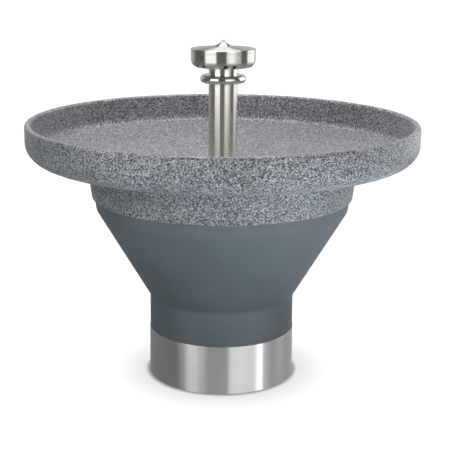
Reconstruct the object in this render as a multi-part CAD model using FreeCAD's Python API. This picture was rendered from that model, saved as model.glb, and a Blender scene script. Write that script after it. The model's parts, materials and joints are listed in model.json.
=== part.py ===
"""Round group hand-washing fountain: a bowl on a pedestal, with a six-station infrared spray head.

Millimetres. The origin is on the floor under the column, +Z is up and -Y is the front.
An azimuth is an angle about +Z in degrees, counted from the front (-Y) towards +X.
Outlines to be revolved are lists of (radius, height, corner radius), in order round the section.
"""
import FreeCAD
import Part
import math
import os

os.makedirs("parts", exist_ok=True)

# ---------------------------------------------------------------- driving dimensions
# Bowl: 54 in across, rim 36 in above the floor, cast about 20 mm thick
BOWL_RADIUS = 685.8
RIM_HEIGHT = 914.4
RIM_WIDTH = 21.8
RIM_ROUND = 10.0
BOWL_CORNER_ROUND = 65.0
UNDERSIDE_SLOPE = 11.49
INNER_WALL_FOOT_RADIUS = 656.0
INNER_CORNER_ROUND = 28.0
FLOOR_THICKNESS = 20.4
GUTTER_HEIGHT = 740.0
GUTTER_INNER_RADIUS = 112.0
GUTTER_OUTER_RADIUS = 218.0
BOWL_FOOT = 718.0
BOWL_FOOT_RADIUS = 221.0
HUB_RADIUS = 96.0
HUB_HEIGHT = 760.0
CENTRE_HOLE_RADIUS = 40.0

# Skirt ring glued under the bowl
SKIRT_TOP_RADIUS = 474.3
SKIRT_TOP_HEIGHT = 757.6
SKIRT_FOOT_RADIUS = 459.0
SKIRT_FOOT = 649.2
SKIRT_THICKNESS = 20.0
SKIRT_ROUND = 7.0
GLUE_LINE = 0.1

# Pedestal shell and its rear access panel
PEDESTAL_TOP = 648.7
PEDESTAL_TOP_RADIUS = 450.0
SHOULDER_RADIUS = 444.6
SHOULDER_HEIGHT = 608.2
SHOULDER_ROUND = 30.0
PEDESTAL_RADIUS = 256.7
WAIST_HEIGHT = 291.2
WAIST_ROUND = 13.5
PEDESTAL_FOOT = 160.0
SHELL_THICKNESS = 2.5
FLANGE_THICKNESS = 2.0
PANEL_THICKNESS = 2.0
PANEL_HALF_ANGLE = 50.0
PANEL_GAP_ANGLE = 0.3
PANEL_TOP = 640.0
PANEL_FOOT = 174.5
PANEL_SCREW_ANGLE = 46.0
LOW_SCREW_HEIGHT = 235.0
HIGH_SCREW_HEIGHT = 625.0

# Kick ring at the floor
KICK_RADIUS = 258.5
KICK_HEIGHT = 171.4
KICK_THICKNESS = 1.5
KICK_SCREW_AZIMUTHS = (100, 160, 200, 260)
KICK_SCREW_HEIGHT = 28.0

# Steel stand inside the pedestal
FLOOR_RING_INNER = 180.0
FLOOR_RING_OUTER = 245.0
FLOOR_RING_THICKNESS = 8.0
ANCHOR_CIRCLE_RADIUS = 212.0
ANCHOR_HOLE_RADIUS = 7.0
LEG_WIDTH = 40.0
LEG_WALL = 3.0
LEG_OFFSET = 150.0
TOP_PLATE_LOW = 704.0
TOP_PLATE_HIGH = 710.0
TOP_PLATE_RADIUS = 240.0
STAND_BOLT_X = 178.5
STAND_BOLT_Y = 65.0

# Drain and waste, off centre towards the front
DRAIN_Y = -165.0
DRAIN_HOLE_RADIUS = 32.0
STRAINER_RADIUS = 39.6
TAIL_RADIUS = 19.0
TRAP_RADIUS = 22.0
TRAP_BORE = 19.2
TRAP_BEND = 45.0
TRAP_ARM_HEIGHT = 500.0
STACK_Y = 36.0
STACK_RADIUS = 28.0
STACK_BORE = 25.5
STACK_TEE_RADIUS = 31.5
STACK_TEE_FOOT = 430.0
STACK_TOP = 560.0
PIPE_FOOT = 10.0

# Column, 4 in tube, with the trim ring at its joint to the neck
COLUMN_RADIUS = 50.4
COLUMN_BORE = 48.4
COLUMN_JOINT = 1061.0
COLUMN_FLANGE_RADIUS = 88.0
COLUMN_FLANGE_LOW = 761.5
COLUMN_FLANGE_HIGH = 769.5
COLUMN_BOLT_CIRCLE = 70.0
COLUMN_BOLT_AZIMUTHS = (43, 133, 223, 313)
TRIM_RADIUS = 79.8
TRIM_LOW = 1047.0
TRIM_HIGH = 1075.5
NECK_BORE = 42.0
NECK_THREAD_RADIUS = 46.2

# Spray head
HEAD_RADIUS = 112.2
HEAD_LOW = 1103.0
HEAD_FOOT_RADIUS = 95.7
HEAD_CORNER_HEIGHT = 1113.5
HEAD_CORNER_ROUND = 26.5
HEAD_ARC_START = 1128.0
HEAD_SEAM = 1154.5
HEAD_WALL_INSIDE = 108.0
COVER_RADIUS = 113.0
COVER_RIM = 1165.6
COVER_CROWN = 1174.6
COVER_CROWN_RADIUS = 26.0
COVER_SHEET = 2.2
FINIAL_BASE = 1174.9
FINIAL_TOP = 1196.0
STUD_TOP = 1182.5
BOARD_HEIGHT = 1136.0

# Stations: one nozzle, one sensor pair, one valve and one riser tube each
STATION_AZIMUTHS = (13, 73, 133, 193, 253, 313)
WINDOW_HALF_SPREAD = 8.2
WINDOW_RADIUS = 7.1
WINDOW_TILT = 41.0
POD_DEPTH = 9.0
POD_SIZE = FreeCAD.Vector(9, 42, 16)
NOZZLE_CIRCLE = 75.0
NOZZLE_RADIUS = 8.0
NOZZLE_SEAT = 7.0
RISER_CIRCLE = 24.0
RISER_RADIUS = 3.2
RISER_BEND = 14.0
VALVE_X = {313: -100, 253: -60, 193: -20, 133: 20, 13: 60, 73: 100}
RISER_LEVEL = {313: 660, 253: 678, 193: 678, 133: 678, 13: 660, 73: 660}

# Water supply behind the access panel
SERVICE_Y = 150.0
SUPPLY_X = 80.0
PIPE_RADIUS = 8.0
SPIGOT_RADIUS = 7.7
STOP_LOW = 226.0
STOP_HIGH = 286.0
STOP_STEM_HEIGHT = 250.0
MIXER_HEIGHT = 420.0
MANIFOLD_HEIGHT = 560.0
MANIFOLD_RADIUS = 14.0
VALVE_LOW = 580.0
VALVE_HIGH = 610.0
COIL_HEIGHT = 595.0
COIL_FACE_Y = 165.0
COIL_END_Y = 195.0
PLUNGER_RADIUS = 5.5

# Control box on the right-hand side of the stand
BOX_LOW = FreeCAD.Vector(66, 20, 320)
BOX_SIZE = FreeCAD.Vector(60, 70, 150)
BOX_WALL = 2.5

# Fasteners and clearances
SLIP = 0.1
COLUMN_BOLT_RADIUS = 4.0
COLUMN_BOLT_HOLE = 4.4
STAND_BOLT_RADIUS = 4.9
PANEL_SCREW_RADIUS = 3.1
PANEL_SCREW_HEAD = 7.5
KICK_SCREW_RADIUS = 2.4
KICK_SCREW_HEAD = 4.6
STUD_RADIUS = 3.0

UP = FreeCAD.Vector(0, 0, 1)
BACK = FreeCAD.Vector(0, 1, 0)
RIGHT = FreeCAD.Vector(1, 0, 0)
ORIGIN = FreeCAD.Vector(0, 0, 0)


# ---------------------------------------------------------------- building blocks
def point(x, y, z):
    return FreeCAD.Vector(x, y, z)


def polar(radius, azimuth, height):
    """The point at a radius and azimuth."""
    turn = math.radians(azimuth)
    return point(radius * math.sin(turn), -radius * math.cos(turn), height)


def at_azimuth(shape, azimuth):
    """A copy of a shape that was built along +X, turned to an azimuth."""
    copy = shape.copy()
    copy.rotate(ORIGIN, UP, azimuth - 90)
    return copy


def around(shape, azimuths):
    """Copies of a shape built along +X, one at each azimuth."""
    return [at_azimuth(shape, azimuth) for azimuth in azimuths]


def moved(shape, x, y, z=0):
    """A copy of a shape shifted by x, y, z."""
    copy = shape.copy()
    copy.translate(point(x, y, z))
    return copy


def rounded_wire(points, rounds, closed):
    """Straight runs through the points, with a tangent arc of the given radius at each corner."""
    entries = []
    exits = []
    arcs = []
    count = len(points)
    for i, corner in enumerate(points):
        end_point = not closed and i in (0, count - 1)
        if rounds[i] == 0 or end_point:
            entries.append(corner)
            exits.append(corner)
            arcs.append(None)
            continue
        back = (points[i - 1] - corner).normalize()
        ahead = (points[(i + 1) % count] - corner).normalize()
        half = back.getAngle(ahead) / 2
        reach = rounds[i] / math.tan(half)
        bisector = (back + ahead).normalize()
        entry = corner + back * reach
        middle = corner + bisector * (rounds[i] / math.sin(half) - rounds[i])
        leave = corner + ahead * reach
        entries.append(entry)
        exits.append(leave)
        arcs.append(Part.Arc(entry, middle, leave).toShape())
    edges = []
    for i in range(count):
        if arcs[i] is not None:
            edges.append(arcs[i])
        if i == count - 1 and not closed:
            break
        start = exits[i]
        end = entries[(i + 1) % count]
        if start.distanceToPoint(end) > 1e-6:
            edges.append(Part.LineSegment(start, end).toShape())
    return Part.Wire(edges)


def revolve(outline, start=0, sweep=360):
    """Turn a closed (radius, height, corner radius) outline about the Z axis."""
    points = [point(radius, 0, height) for radius, height, corner in outline]
    rounds = [corner for radius, height, corner in outline]
    face = Part.Face(rounded_wire(points, rounds, True))
    solid = face.revolve(ORIGIN, UP, sweep)
    return at_azimuth(solid, start) if sweep < 360 else solid


def cylinder(radius, length, base, axis=UP):
    return Part.makeCylinder(radius, length, base, axis)


def ring(outer, inner, length, base, axis=UP):
    """A plain tube."""
    return cylinder(outer, length, base, axis).cut(cylinder(inner, length, base, axis))


def box(low, size):
    return Part.makeBox(size.x, size.y, size.z, low)


def hexagon(flats, length, base, axis=UP):
    """A hexagonal prism, as wide across its flats as given."""
    corner_radius = flats / math.sqrt(3)
    turns = [math.radians(60 * k) for k in range(6)]
    corners = [point(corner_radius * math.cos(t), corner_radius * math.sin(t), 0) for t in turns]
    prism = Part.Face(Part.makePolygon(corners + corners[:1])).extrude(UP * length)
    prism.Placement = FreeCAD.Placement(base, FreeCAD.Rotation(UP, axis))
    return prism


def swept_round(path, radius):
    """A round bar along a wire."""
    first = path.Edges[0]
    direction = first.tangentAt(first.FirstParameter)
    section = Part.Wire(Part.makeCircle(radius, first.valueAt(first.FirstParameter), direction))
    return path.makePipeShell([section], True, False)


def bent_tube(points, bend, radius, bore):
    """A tube of straight runs joined by tangent bends."""
    rounds = [bend] * len(points)
    path = rounded_wire(points, rounds, False)
    return swept_round(path, radius).cut(swept_round(path, bore))


def without(shape, cutters):
    """The shape with every cutter taken out of it."""
    for cutter in cutters:
        shape = shape.cut(cutter)
    return shape


def joined(shapes):
    """All the shapes fused into one solid."""
    return shapes[0].multiFuse(shapes[1:]).removeSplitter()


def save(name, *solids):
    """Write one sub-part, which may be a group of identical separate solids."""
    shape = Part.makeCompound(list(solids)) if len(solids) > 1 else solids[0]
    shape.exportStep("parts/" + name + ".step")
    count = len(shape.Solids)
    print(f"{name:20s} solids {count:2d}  valid {shape.isValid()}  volume {shape.Volume / 1000:9.1f} cm3")


# ---------------------------------------------------------------- bowl and skirt
def underside_height(radius):
    """Height of the bowl's outer underside cone at a radius."""
    slope = math.tan(math.radians(UNDERSIDE_SLOPE))
    return SKIRT_TOP_HEIGHT + (radius - SKIRT_TOP_RADIUS) * slope


def drain_bore(radius, low, high):
    """A vertical cutter on the drain's axis."""
    return cylinder(radius, high - low, point(0, DRAIN_Y, low))


def column_bolt_cutters(low, high):
    """Cutters for the four bolts that clamp the column to the stand."""
    hole = cylinder(COLUMN_BOLT_HOLE, high - low, point(COLUMN_BOLT_CIRCLE, 0, low))
    return around(hole, COLUMN_BOLT_AZIMUTHS)


def stand_bolt_places():
    """The four places of the bolts that hold the bowl to the stand."""
    return [(x, y) for x in (-STAND_BOLT_X, STAND_BOLT_X) for y in (-STAND_BOLT_Y, STAND_BOLT_Y)]


def make_bowl():
    inner_rim = BOWL_RADIUS - RIM_WIDTH
    foot_of_wall = underside_height(INNER_WALL_FOOT_RADIUS) + FLOOR_THICKNESS
    floor_at_skirt = SKIRT_TOP_HEIGHT + FLOOR_THICKNESS
    outline = [
        (CENTRE_HOLE_RADIUS, BOWL_FOOT, 0),
        (BOWL_FOOT_RADIUS, BOWL_FOOT, 20),
        (SKIRT_TOP_RADIUS, SKIRT_TOP_HEIGHT, 0),
        (BOWL_RADIUS, underside_height(BOWL_RADIUS), BOWL_CORNER_ROUND),
        (BOWL_RADIUS, RIM_HEIGHT, RIM_ROUND),
        (inner_rim, RIM_HEIGHT, RIM_ROUND),
        (INNER_WALL_FOOT_RADIUS, foot_of_wall, INNER_CORNER_ROUND),
        (SKIRT_TOP_RADIUS, floor_at_skirt, 60),
        (GUTTER_OUTER_RADIUS, GUTTER_HEIGHT, 60),
        (GUTTER_INNER_RADIUS, GUTTER_HEIGHT, 10),
        (HUB_RADIUS, HUB_HEIGHT, 5),
        (CENTRE_HOLE_RADIUS, HUB_HEIGHT, 0),
    ]
    cutters = [drain_bore(DRAIN_HOLE_RADIUS, 700, 760)]
    cutters += column_bolt_cutters(BOWL_FOOT - 1, HUB_HEIGHT + 1)
    anchor_depth = 14
    for x, y in stand_bolt_places():
        cutters.append(cylinder(STAND_BOLT_RADIUS + SLIP, anchor_depth, point(x, y, BOWL_FOOT)))
    save("bowl", without(revolve(outline), cutters))


def make_skirt():
    top = SKIRT_TOP_HEIGHT - GLUE_LINE
    inner_top = SKIRT_TOP_RADIUS - SKIRT_THICKNESS
    slope = (SKIRT_TOP_HEIGHT - BOWL_FOOT) / (SKIRT_TOP_RADIUS - BOWL_FOOT_RADIUS)
    outline = [
        (SKIRT_FOOT_RADIUS - SKIRT_THICKNESS, SKIRT_FOOT, 3),
        (SKIRT_FOOT_RADIUS, SKIRT_FOOT, SKIRT_ROUND),
        (SKIRT_TOP_RADIUS, top, 0),
        (inner_top, top - SKIRT_THICKNESS * slope, 0),
    ]
    save("bowl_skirt", revolve(outline))


# ---------------------------------------------------------------- pedestal
def band_radius(height):
    """Radius of the pedestal's nearly upright top band at a height."""
    share = (height - SHOULDER_HEIGHT) / (PEDESTAL_TOP - SHOULDER_HEIGHT)
    return SHOULDER_RADIUS + share * (PEDESTAL_TOP_RADIUS - SHOULDER_RADIUS)


def pedestal_line(low, high):
    """The pedestal's outer line from a height on its top band down to a lower height."""
    top = (band_radius(high), high, 0)
    if low > SHOULDER_HEIGHT:
        return [top, (band_radius(low), low, 0)]
    shoulder = (SHOULDER_RADIUS, SHOULDER_HEIGHT, SHOULDER_ROUND)
    waist = (PEDESTAL_RADIUS, WAIST_HEIGHT, WAIST_ROUND)
    return [top, shoulder, waist, (PEDESTAL_RADIUS, low, 0)]


def shifted(line, distance):
    """The line moved towards the axis by a distance, with its ends at the same heights."""
    spans = []
    for (r0, z0, _), (r1, z1, _) in zip(line, line[1:]):
        length = math.hypot(r1 - r0, z1 - z0)
        spans.append(((r1 - r0) / length, (z1 - z0) / length))
    moved_line = []
    for i, (radius, height, corner) in enumerate(line):
        before = spans[max(i - 1, 0)]
        after = spans[min(i, len(spans) - 1)]
        if i in (0, len(line) - 1):
            run = after if i == 0 else before
            moved_line.append((radius + distance / run[1], height, 0))
            continue
        cross = before[0] * after[1] - before[1] * after[0]
        dot = before[0] * after[0] + before[1] * after[1]
        new_radius = radius + distance * (before[1] + after[1]) / (1 + dot)
        new_height = height - distance * (before[0] + after[0]) / (1 + dot)
        new_corner = corner + math.copysign(distance, cross)
        moved_line.append((new_radius, new_height, new_corner))
    return moved_line


def pedestal_sheet(low, high, depth, thickness, start, sweep):
    """A sheet that follows the pedestal's line, its outer face at a depth below it."""
    line = pedestal_line(low, high)
    outer = shifted(line, depth)
    inner = shifted(line, depth + thickness)
    return revolve(outer + inner[::-1], start, sweep)


def make_pedestal_shell():
    left_edge = 180 + PANEL_HALF_ANGLE
    right_edge = 180 - PANEL_HALF_ANGLE
    wrap = 360 - 2 * PANEL_HALF_ANGLE
    flange = 4
    lap = 1
    header_foot = PANEL_TOP + 1.2
    flange_foot = PANEL_TOP - 10
    pieces = [
        pedestal_sheet(PEDESTAL_FOOT, PEDESTAL_TOP, 0, SHELL_THICKNESS, left_edge, wrap),
        pedestal_sheet(header_foot, PEDESTAL_TOP, 0, SHELL_THICKNESS,
                       right_edge - lap, 2 * (PANEL_HALF_ANGLE + lap)),
        pedestal_sheet(flange_foot, PEDESTAL_TOP, SHELL_THICKNESS, FLANGE_THICKNESS,
                       right_edge - flange, 2 * (PANEL_HALF_ANGLE + flange)),
    ]
    for edge in (right_edge, left_edge):
        pieces.append(pedestal_sheet(PEDESTAL_FOOT, PEDESTAL_TOP, SHELL_THICKNESS, FLANGE_THICKNESS,
                                     edge - flange, 2 * flange))
    save("pedestal_shell", joined(pieces))


def panel_screw_places():
    """Azimuth, seat and downward tilt of each panel screw: two on the cylinder, two on the sloping band."""
    rise = PEDESTAL_TOP - SHOULDER_HEIGHT
    band_tilt = math.degrees(math.atan2(PEDESTAL_TOP_RADIUS - SHOULDER_RADIUS, rise))
    low_seat = point(PEDESTAL_RADIUS, 0, LOW_SCREW_HEIGHT)
    high_seat = point(band_radius(HIGH_SCREW_HEIGHT), 0, HIGH_SCREW_HEIGHT)
    places = []
    for azimuth in (180 - PANEL_SCREW_ANGLE, 180 + PANEL_SCREW_ANGLE):
        places += [(azimuth, low_seat, 0), (azimuth, high_seat, band_tilt)]
    return places


def make_access_panel():
    start = 180 - PANEL_HALF_ANGLE + PANEL_GAP_ANGLE
    sweep = 2 * (PANEL_HALF_ANGLE - PANEL_GAP_ANGLE)
    panel = pedestal_sheet(PANEL_FOOT, PANEL_TOP, 0, PANEL_THICKNESS, start, sweep)
    hole = cylinder(PANEL_SCREW_RADIUS + SLIP, 12, point(-8, 0, 0), RIGHT)
    head = cylinder(PANEL_SCREW_HEAD, 2.2, point(SLIP, 0, 0), RIGHT)
    shank = cylinder(PANEL_SCREW_RADIUS, 3, point(-PANEL_THICKNESS - SLIP, 0, 0), RIGHT)
    slot = box(point(1.3, -6, -0.8), point(2, 12, 1.6))
    screw = head.fuse(shank).cut(slot)
    screws = []
    for azimuth, seat, tilt in panel_screw_places():
        place = FreeCAD.Placement(seat, FreeCAD.Rotation(BACK, tilt))
        panel = panel.cut(at_azimuth(hole.transformed(place.toMatrix()), azimuth))
        screws.append(at_azimuth(screw.transformed(place.toMatrix()), azimuth))
    save("access_panel", panel)
    save("panel_screws", *screws)


def make_kick_ring():
    kick = ring(KICK_RADIUS, KICK_RADIUS - KICK_THICKNESS, KICK_HEIGHT, ORIGIN)
    seat = point(KICK_RADIUS - 8, 0, KICK_SCREW_HEIGHT)
    holes = around(cylinder(KICK_SCREW_RADIUS + 2 * SLIP, 12, seat, RIGHT), KICK_SCREW_AZIMUTHS)
    save("kick_ring", without(kick, holes))
    shank = cylinder(KICK_SCREW_RADIUS, 9, point(KICK_RADIUS - 8.8, 0, KICK_SCREW_HEIGHT), RIGHT)
    head = cylinder(KICK_SCREW_HEAD, 2.4, point(KICK_RADIUS + 0.05, 0, KICK_SCREW_HEIGHT), RIGHT)
    socket = hexagon(3, 1.4, point(KICK_RADIUS + 1.2, 0, KICK_SCREW_HEIGHT), RIGHT)
    screw = shank.fuse(head).cut(socket)
    save("kick_ring_screws", *around(screw, KICK_SCREW_AZIMUTHS))


# ---------------------------------------------------------------- stand
def make_floor_ring():
    thick = FLOOR_RING_THICKNESS
    plate = ring(FLOOR_RING_OUTER, FLOOR_RING_INNER, thick, ORIGIN)
    inside_kick = KICK_RADIUS - KICK_THICKNESS
    tab_outline = [
        (FLOOR_RING_OUTER - 8, thick - 2, 0),
        (inside_kick, thick - 2, 0),
        (inside_kick, 45, 0),
        (inside_kick - 3, 45, 0),
        (inside_kick - 3, thick + 2, 0),
        (FLOOR_RING_OUTER - 8, thick + 2, 0),
    ]
    tabs = [revolve(tab_outline, azimuth - 4, 8) for azimuth in KICK_SCREW_AZIMUTHS]
    anchor = cylinder(ANCHOR_HOLE_RADIUS, thick, point(ANCHOR_CIRCLE_RADIUS, 0, 0))
    anchors = around(anchor, (0, 90, 180, 270))
    seat = point(inside_kick - 8, 0, KICK_SCREW_HEIGHT)
    threads = around(cylinder(KICK_SCREW_RADIUS + SLIP / 2, 12, seat, RIGHT), KICK_SCREW_AZIMUTHS)
    save("floor_ring", without(joined([plate] + tabs), anchors + threads))


def make_legs():
    low = FLOOR_RING_THICKNESS
    height = TOP_PLATE_LOW - low
    half = LEG_WIDTH / 2
    inside = LEG_WIDTH - 2 * LEG_WALL
    outer = box(point(-half, -half, low), point(LEG_WIDTH, LEG_WIDTH, height))
    inner = box(point(-inside / 2, -inside / 2, low), point(inside, inside, height))
    leg = outer.cut(inner)
    legs = [moved(leg, x, y) for x in (-LEG_OFFSET, LEG_OFFSET) for y in (-LEG_OFFSET, LEG_OFFSET)]
    save("frame_legs", *legs)


def make_top_plate():
    boss_radius = 85
    tube_hole_radius = 45
    drain_clearance_radius = 50
    thick = TOP_PLATE_HIGH - TOP_PLATE_LOW
    centre = point(0, 0, TOP_PLATE_LOW)
    plate = cylinder(TOP_PLATE_RADIUS, thick, centre)
    boss = cylinder(boss_radius, BOWL_FOOT - TOP_PLATE_LOW, centre)
    cutters = [cylinder(tube_hole_radius, BOWL_FOOT - TOP_PLATE_LOW, centre)]
    cutters.append(drain_bore(drain_clearance_radius, TOP_PLATE_LOW, BOWL_FOOT))
    cutters += column_bolt_cutters(TOP_PLATE_LOW - 1, BOWL_FOOT + 1)
    bolt_hole = STAND_BOLT_RADIUS + 0.6
    cutters += [cylinder(bolt_hole, thick, point(x, y, TOP_PLATE_LOW)) for x, y in stand_bolt_places()]
    save("frame_top_plate", without(plate.fuse(boss), cutters))


def make_pads_and_bolts():
    pad_width = 40
    pad_start = 165
    pad_low = point(pad_start, -pad_width / 2, TOP_PLATE_HIGH)
    pad = box(pad_low, point(pad_width, pad_width, BOWL_FOOT - TOP_PLATE_HIGH))
    save("bowl_pads", *around(pad, (45, 135, 225, 315)))
    head_flats = 16
    head_height = 7
    shank_length = 26
    bolts = []
    for x, y in stand_bolt_places():
        head = hexagon(head_flats, head_height, point(x, y, TOP_PLATE_LOW - head_height))
        bolts.append(head.fuse(cylinder(STAND_BOLT_RADIUS, shank_length, point(x, y, TOP_PLATE_LOW))))
    save("bowl_bolts", *bolts)


def make_shell_brackets():
    inside = pedestal_line(PEDESTAL_FOOT, PEDESTAL_TOP)
    inside = shifted(inside, SHELL_THICKNESS)
    core = revolve(inside + [(0, PEDESTAL_FOOT, 0), (0, PEDESTAL_TOP, 0)])
    arm_start = 185
    drop_start = 428
    drop_foot = 612
    strap = 4
    width = 30
    arm = box(point(arm_start, -width / 2, TOP_PLATE_LOW - strap),
              point(drop_start + strap - arm_start, width, strap))
    drop = box(point(drop_start, -width / 2, drop_foot), point(strap, width, TOP_PLATE_LOW - drop_foot))
    pad = box(point(drop_start, -width / 2, drop_foot + 6), point(40, width, 22)).common(core)
    bracket = joined([arm, drop, pad])
    save("shell_brackets", *around(bracket, (62, 118, 242, 298)))


def make_service_rails():
    inner_face = LEG_OFFSET - LEG_WIDTH / 2
    overlap = 30
    strap = 4
    rear_foot = 545
    side_foot = 380
    length = 2 * (inner_face + overlap)
    rear = box(point(-inner_face - overlap, inner_face - strap, rear_foot), point(length, strap, overlap))
    side = box(point(inner_face - strap, -inner_face - overlap, side_foot),
               point(strap, length - strap, overlap))
    save("service_rails", rear, side)


# ---------------------------------------------------------------- drain and waste
def make_drain():
    lip_top = GUTTER_HEIGHT + 4
    outline = [
        (17, 668, 0), (23, 668, 0), (23, 690, 0), (31.5, 694, 0),
        (31.5, GUTTER_HEIGHT, 0), (48, GUTTER_HEIGHT, 0), (48, lip_top, 3),
        (40, lip_top, 0), (40, lip_top - 2.5, 0), (28, lip_top - 2.5, 0), (28, 698, 0), (17, 692, 0),
    ]
    save("drain_flange", moved(revolve(outline), 0, DRAIN_Y))
    disc = revolve([(0, lip_top - 2.2, 0), (STRAINER_RADIUS, lip_top - 2.2, 0),
                    (STRAINER_RADIUS, lip_top - 0.8, 0), (0, lip_top + 1, 0)])
    hole_radius = 3.2
    hole_rings = ((11, 6), (21, 12), (31, 18))
    holes = [cylinder(hole_radius, 20, point(0, 0, lip_top - 10))]
    for circle, count in hole_rings:
        hole = cylinder(hole_radius, 20, point(circle, 0, lip_top - 10))
        holes += around(hole, [360 * k / count for k in range(count)])
    save("drain_strainer", moved(without(disc, holes), 0, DRAIN_Y))
    save("drain_gasket", ring(44, 31.7, 6, point(0, DRAIN_Y, 712)))
    nut = hexagon(84, 11, point(0, DRAIN_Y, 701)).cut(drain_bore(31.6, 700, 713))
    save("drain_locknut", nut)


def slip_nut(neck, pipe, outer, base, axis):
    """A threaded ring, 24 long, over a neck on its first part and a pipe on its last 5 mm."""
    body = hexagon(2 * outer, 24, base, axis)
    return without(body, [cylinder(neck, 19, base, axis), cylinder(pipe, 24, base, axis)])


def make_waste():
    tail_foot = 470
    tail_length = 198
    save("tailpiece", ring(TAIL_RADIUS, TAIL_RADIUS - 1.4, tail_length, point(0, DRAIN_Y, tail_foot)))
    low = 360
    far_y = DRAIN_Y + 2 * TRAP_BEND + 2
    route = [
        point(0, DRAIN_Y, TRAP_ARM_HEIGHT), point(0, DRAIN_Y, low), point(0, far_y, low),
        point(0, far_y, TRAP_ARM_HEIGHT), point(0, STACK_Y - 27, TRAP_ARM_HEIGHT),
    ]
    save("p_trap", bent_tube(route, TRAP_BEND, TRAP_RADIUS, TRAP_BORE))
    stack = cylinder(STACK_RADIUS, STACK_TOP - PIPE_FOOT, point(0, STACK_Y, PIPE_FOOT))
    tee = cylinder(STACK_TEE_RADIUS, STACK_TOP - STACK_TEE_FOOT, point(0, STACK_Y, STACK_TEE_FOOT))
    branch_start = point(0, STACK_Y, TRAP_ARM_HEIGHT)
    branch = cylinder(26, 55, branch_start, -BACK)
    bores = [
        cylinder(STACK_BORE, STACK_TOP - PIPE_FOOT, point(0, STACK_Y, PIPE_FOOT)),
        cylinder(TRAP_RADIUS + 0.2, 56, branch_start, -BACK),
    ]
    save("waste_stack", without(joined([stack, tee, branch]), bores))
    nuts = [
        slip_nut(23.1, TAIL_RADIUS + 0.1, 29, point(0, DRAIN_Y, 681), -UP),
        slip_nut(TRAP_RADIUS + 0.1, TAIL_RADIUS + 0.1, 29, point(0, DRAIN_Y, 486), UP),
        slip_nut(26.1, TRAP_RADIUS + 0.1, 33, point(0, STACK_Y - 39, TRAP_ARM_HEIGHT), -BACK),
    ]
    save("slip_nuts", *nuts)
    plug = cylinder(STACK_BORE - 0.08, 12, point(0, STACK_Y, STACK_TOP - 12))
    cap = cylinder(31, 6, point(0, STACK_Y, STACK_TOP + 0.3))
    neck = cylinder(STACK_BORE - 2, 1, point(0, STACK_Y, STACK_TOP - 0.2))
    key = box(point(-8, STACK_Y - 8, STACK_TOP + 6), point(16, 16, 12))
    save("cleanout_plug", joined([plug, neck, cap, key]))


# ---------------------------------------------------------------- column and neck
def make_column():
    outline = [
        (COLUMN_BORE, COLUMN_FLANGE_LOW, 0),
        (COLUMN_FLANGE_RADIUS, COLUMN_FLANGE_LOW, 0),
        (COLUMN_FLANGE_RADIUS, COLUMN_FLANGE_HIGH, 2),
        (COLUMN_RADIUS, COLUMN_FLANGE_HIGH, 4),
        (COLUMN_RADIUS, COLUMN_JOINT, 0),
        (COLUMN_BORE, COLUMN_JOINT, 0),
    ]
    holes = column_bolt_cutters(COLUMN_FLANGE_LOW - 1, COLUMN_FLANGE_HIGH + 1)
    save("column_tube", without(revolve(outline), holes))
    gasket = ring(COLUMN_FLANGE_RADIUS - 1, CENTRE_HOLE_RADIUS + 8, COLUMN_FLANGE_LOW - HUB_HEIGHT,
                  point(0, 0, HUB_HEIGHT))
    save("column_gasket", without(gasket, column_bolt_cutters(HUB_HEIGHT - 1, COLUMN_FLANGE_LOW + 1)))
    shank_length = 77
    flats = 13
    nut_height = 7
    shank = cylinder(COLUMN_BOLT_RADIUS, shank_length,
                     point(COLUMN_BOLT_CIRCLE, 0, COLUMN_FLANGE_HIGH - shank_length))
    head = hexagon(flats, 5.5, point(COLUMN_BOLT_CIRCLE, 0, COLUMN_FLANGE_HIGH))
    nut_base = point(COLUMN_BOLT_CIRCLE, 0, TOP_PLATE_LOW - nut_height)
    nut = hexagon(flats, nut_height, nut_base)
    nut = nut.cut(cylinder(COLUMN_BOLT_RADIUS + SLIP / 2, nut_height, nut_base))
    bolt = head.fuse(shank)
    save("column_bolts", *around(bolt, COLUMN_BOLT_AZIMUTHS), *around(nut, COLUMN_BOLT_AZIMUTHS))


def make_neck_and_trim():
    neck = [
        (NECK_BORE, 1015, 0), (COLUMN_BORE - 0.2, 1015, 1.5), (COLUMN_BORE - 0.2, COLUMN_JOINT + 0.3, 0),
        (COLUMN_RADIUS, COLUMN_JOINT + 0.3, 0), (COLUMN_RADIUS, HEAD_LOW, 0),
        (NECK_THREAD_RADIUS, HEAD_LOW, 0), (NECK_THREAD_RADIUS, 1118, 1), (NECK_BORE, 1118, 0),
    ]
    save("neck_tube", revolve(neck))
    round_edge = (TRIM_HIGH - TRIM_LOW) / 2 - 0.1
    trim = [
        (COLUMN_RADIUS + SLIP, TRIM_LOW, 0), (TRIM_RADIUS, TRIM_LOW, round_edge),
        (TRIM_RADIUS, TRIM_HIGH, round_edge), (COLUMN_RADIUS + SLIP, TRIM_HIGH, 0),
    ]
    grub_height = COLUMN_JOINT + 6
    grub_azimuths = (150, 210)
    grub_radius = 3
    grub = cylinder(grub_radius, 40, point(COLUMN_RADIUS - 1, 0, grub_height), RIGHT)
    save("trim_ring", without(revolve(trim), around(grub, grub_azimuths)))
    screw = cylinder(grub_radius - SLIP, 9, point(COLUMN_RADIUS + SLIP, 0, grub_height), RIGHT)
    socket = hexagon(3, 4, point(COLUMN_RADIUS + 5.5, 0, grub_height), RIGHT)
    save("trim_ring_screws", *around(screw.cut(socket), grub_azimuths))


# ---------------------------------------------------------------- spray head
def window_seat():
    """Middle of a sensor window on the head's rounded lower corner, and its outward direction."""
    tilt = math.radians(WINDOW_TILT)
    outward = point(math.cos(tilt), 0, -math.sin(tilt))
    arc_centre = point(HEAD_RADIUS - HEAD_CORNER_ROUND, 0, HEAD_ARC_START)
    return arc_centre + outward * HEAD_CORNER_ROUND, outward


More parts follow.
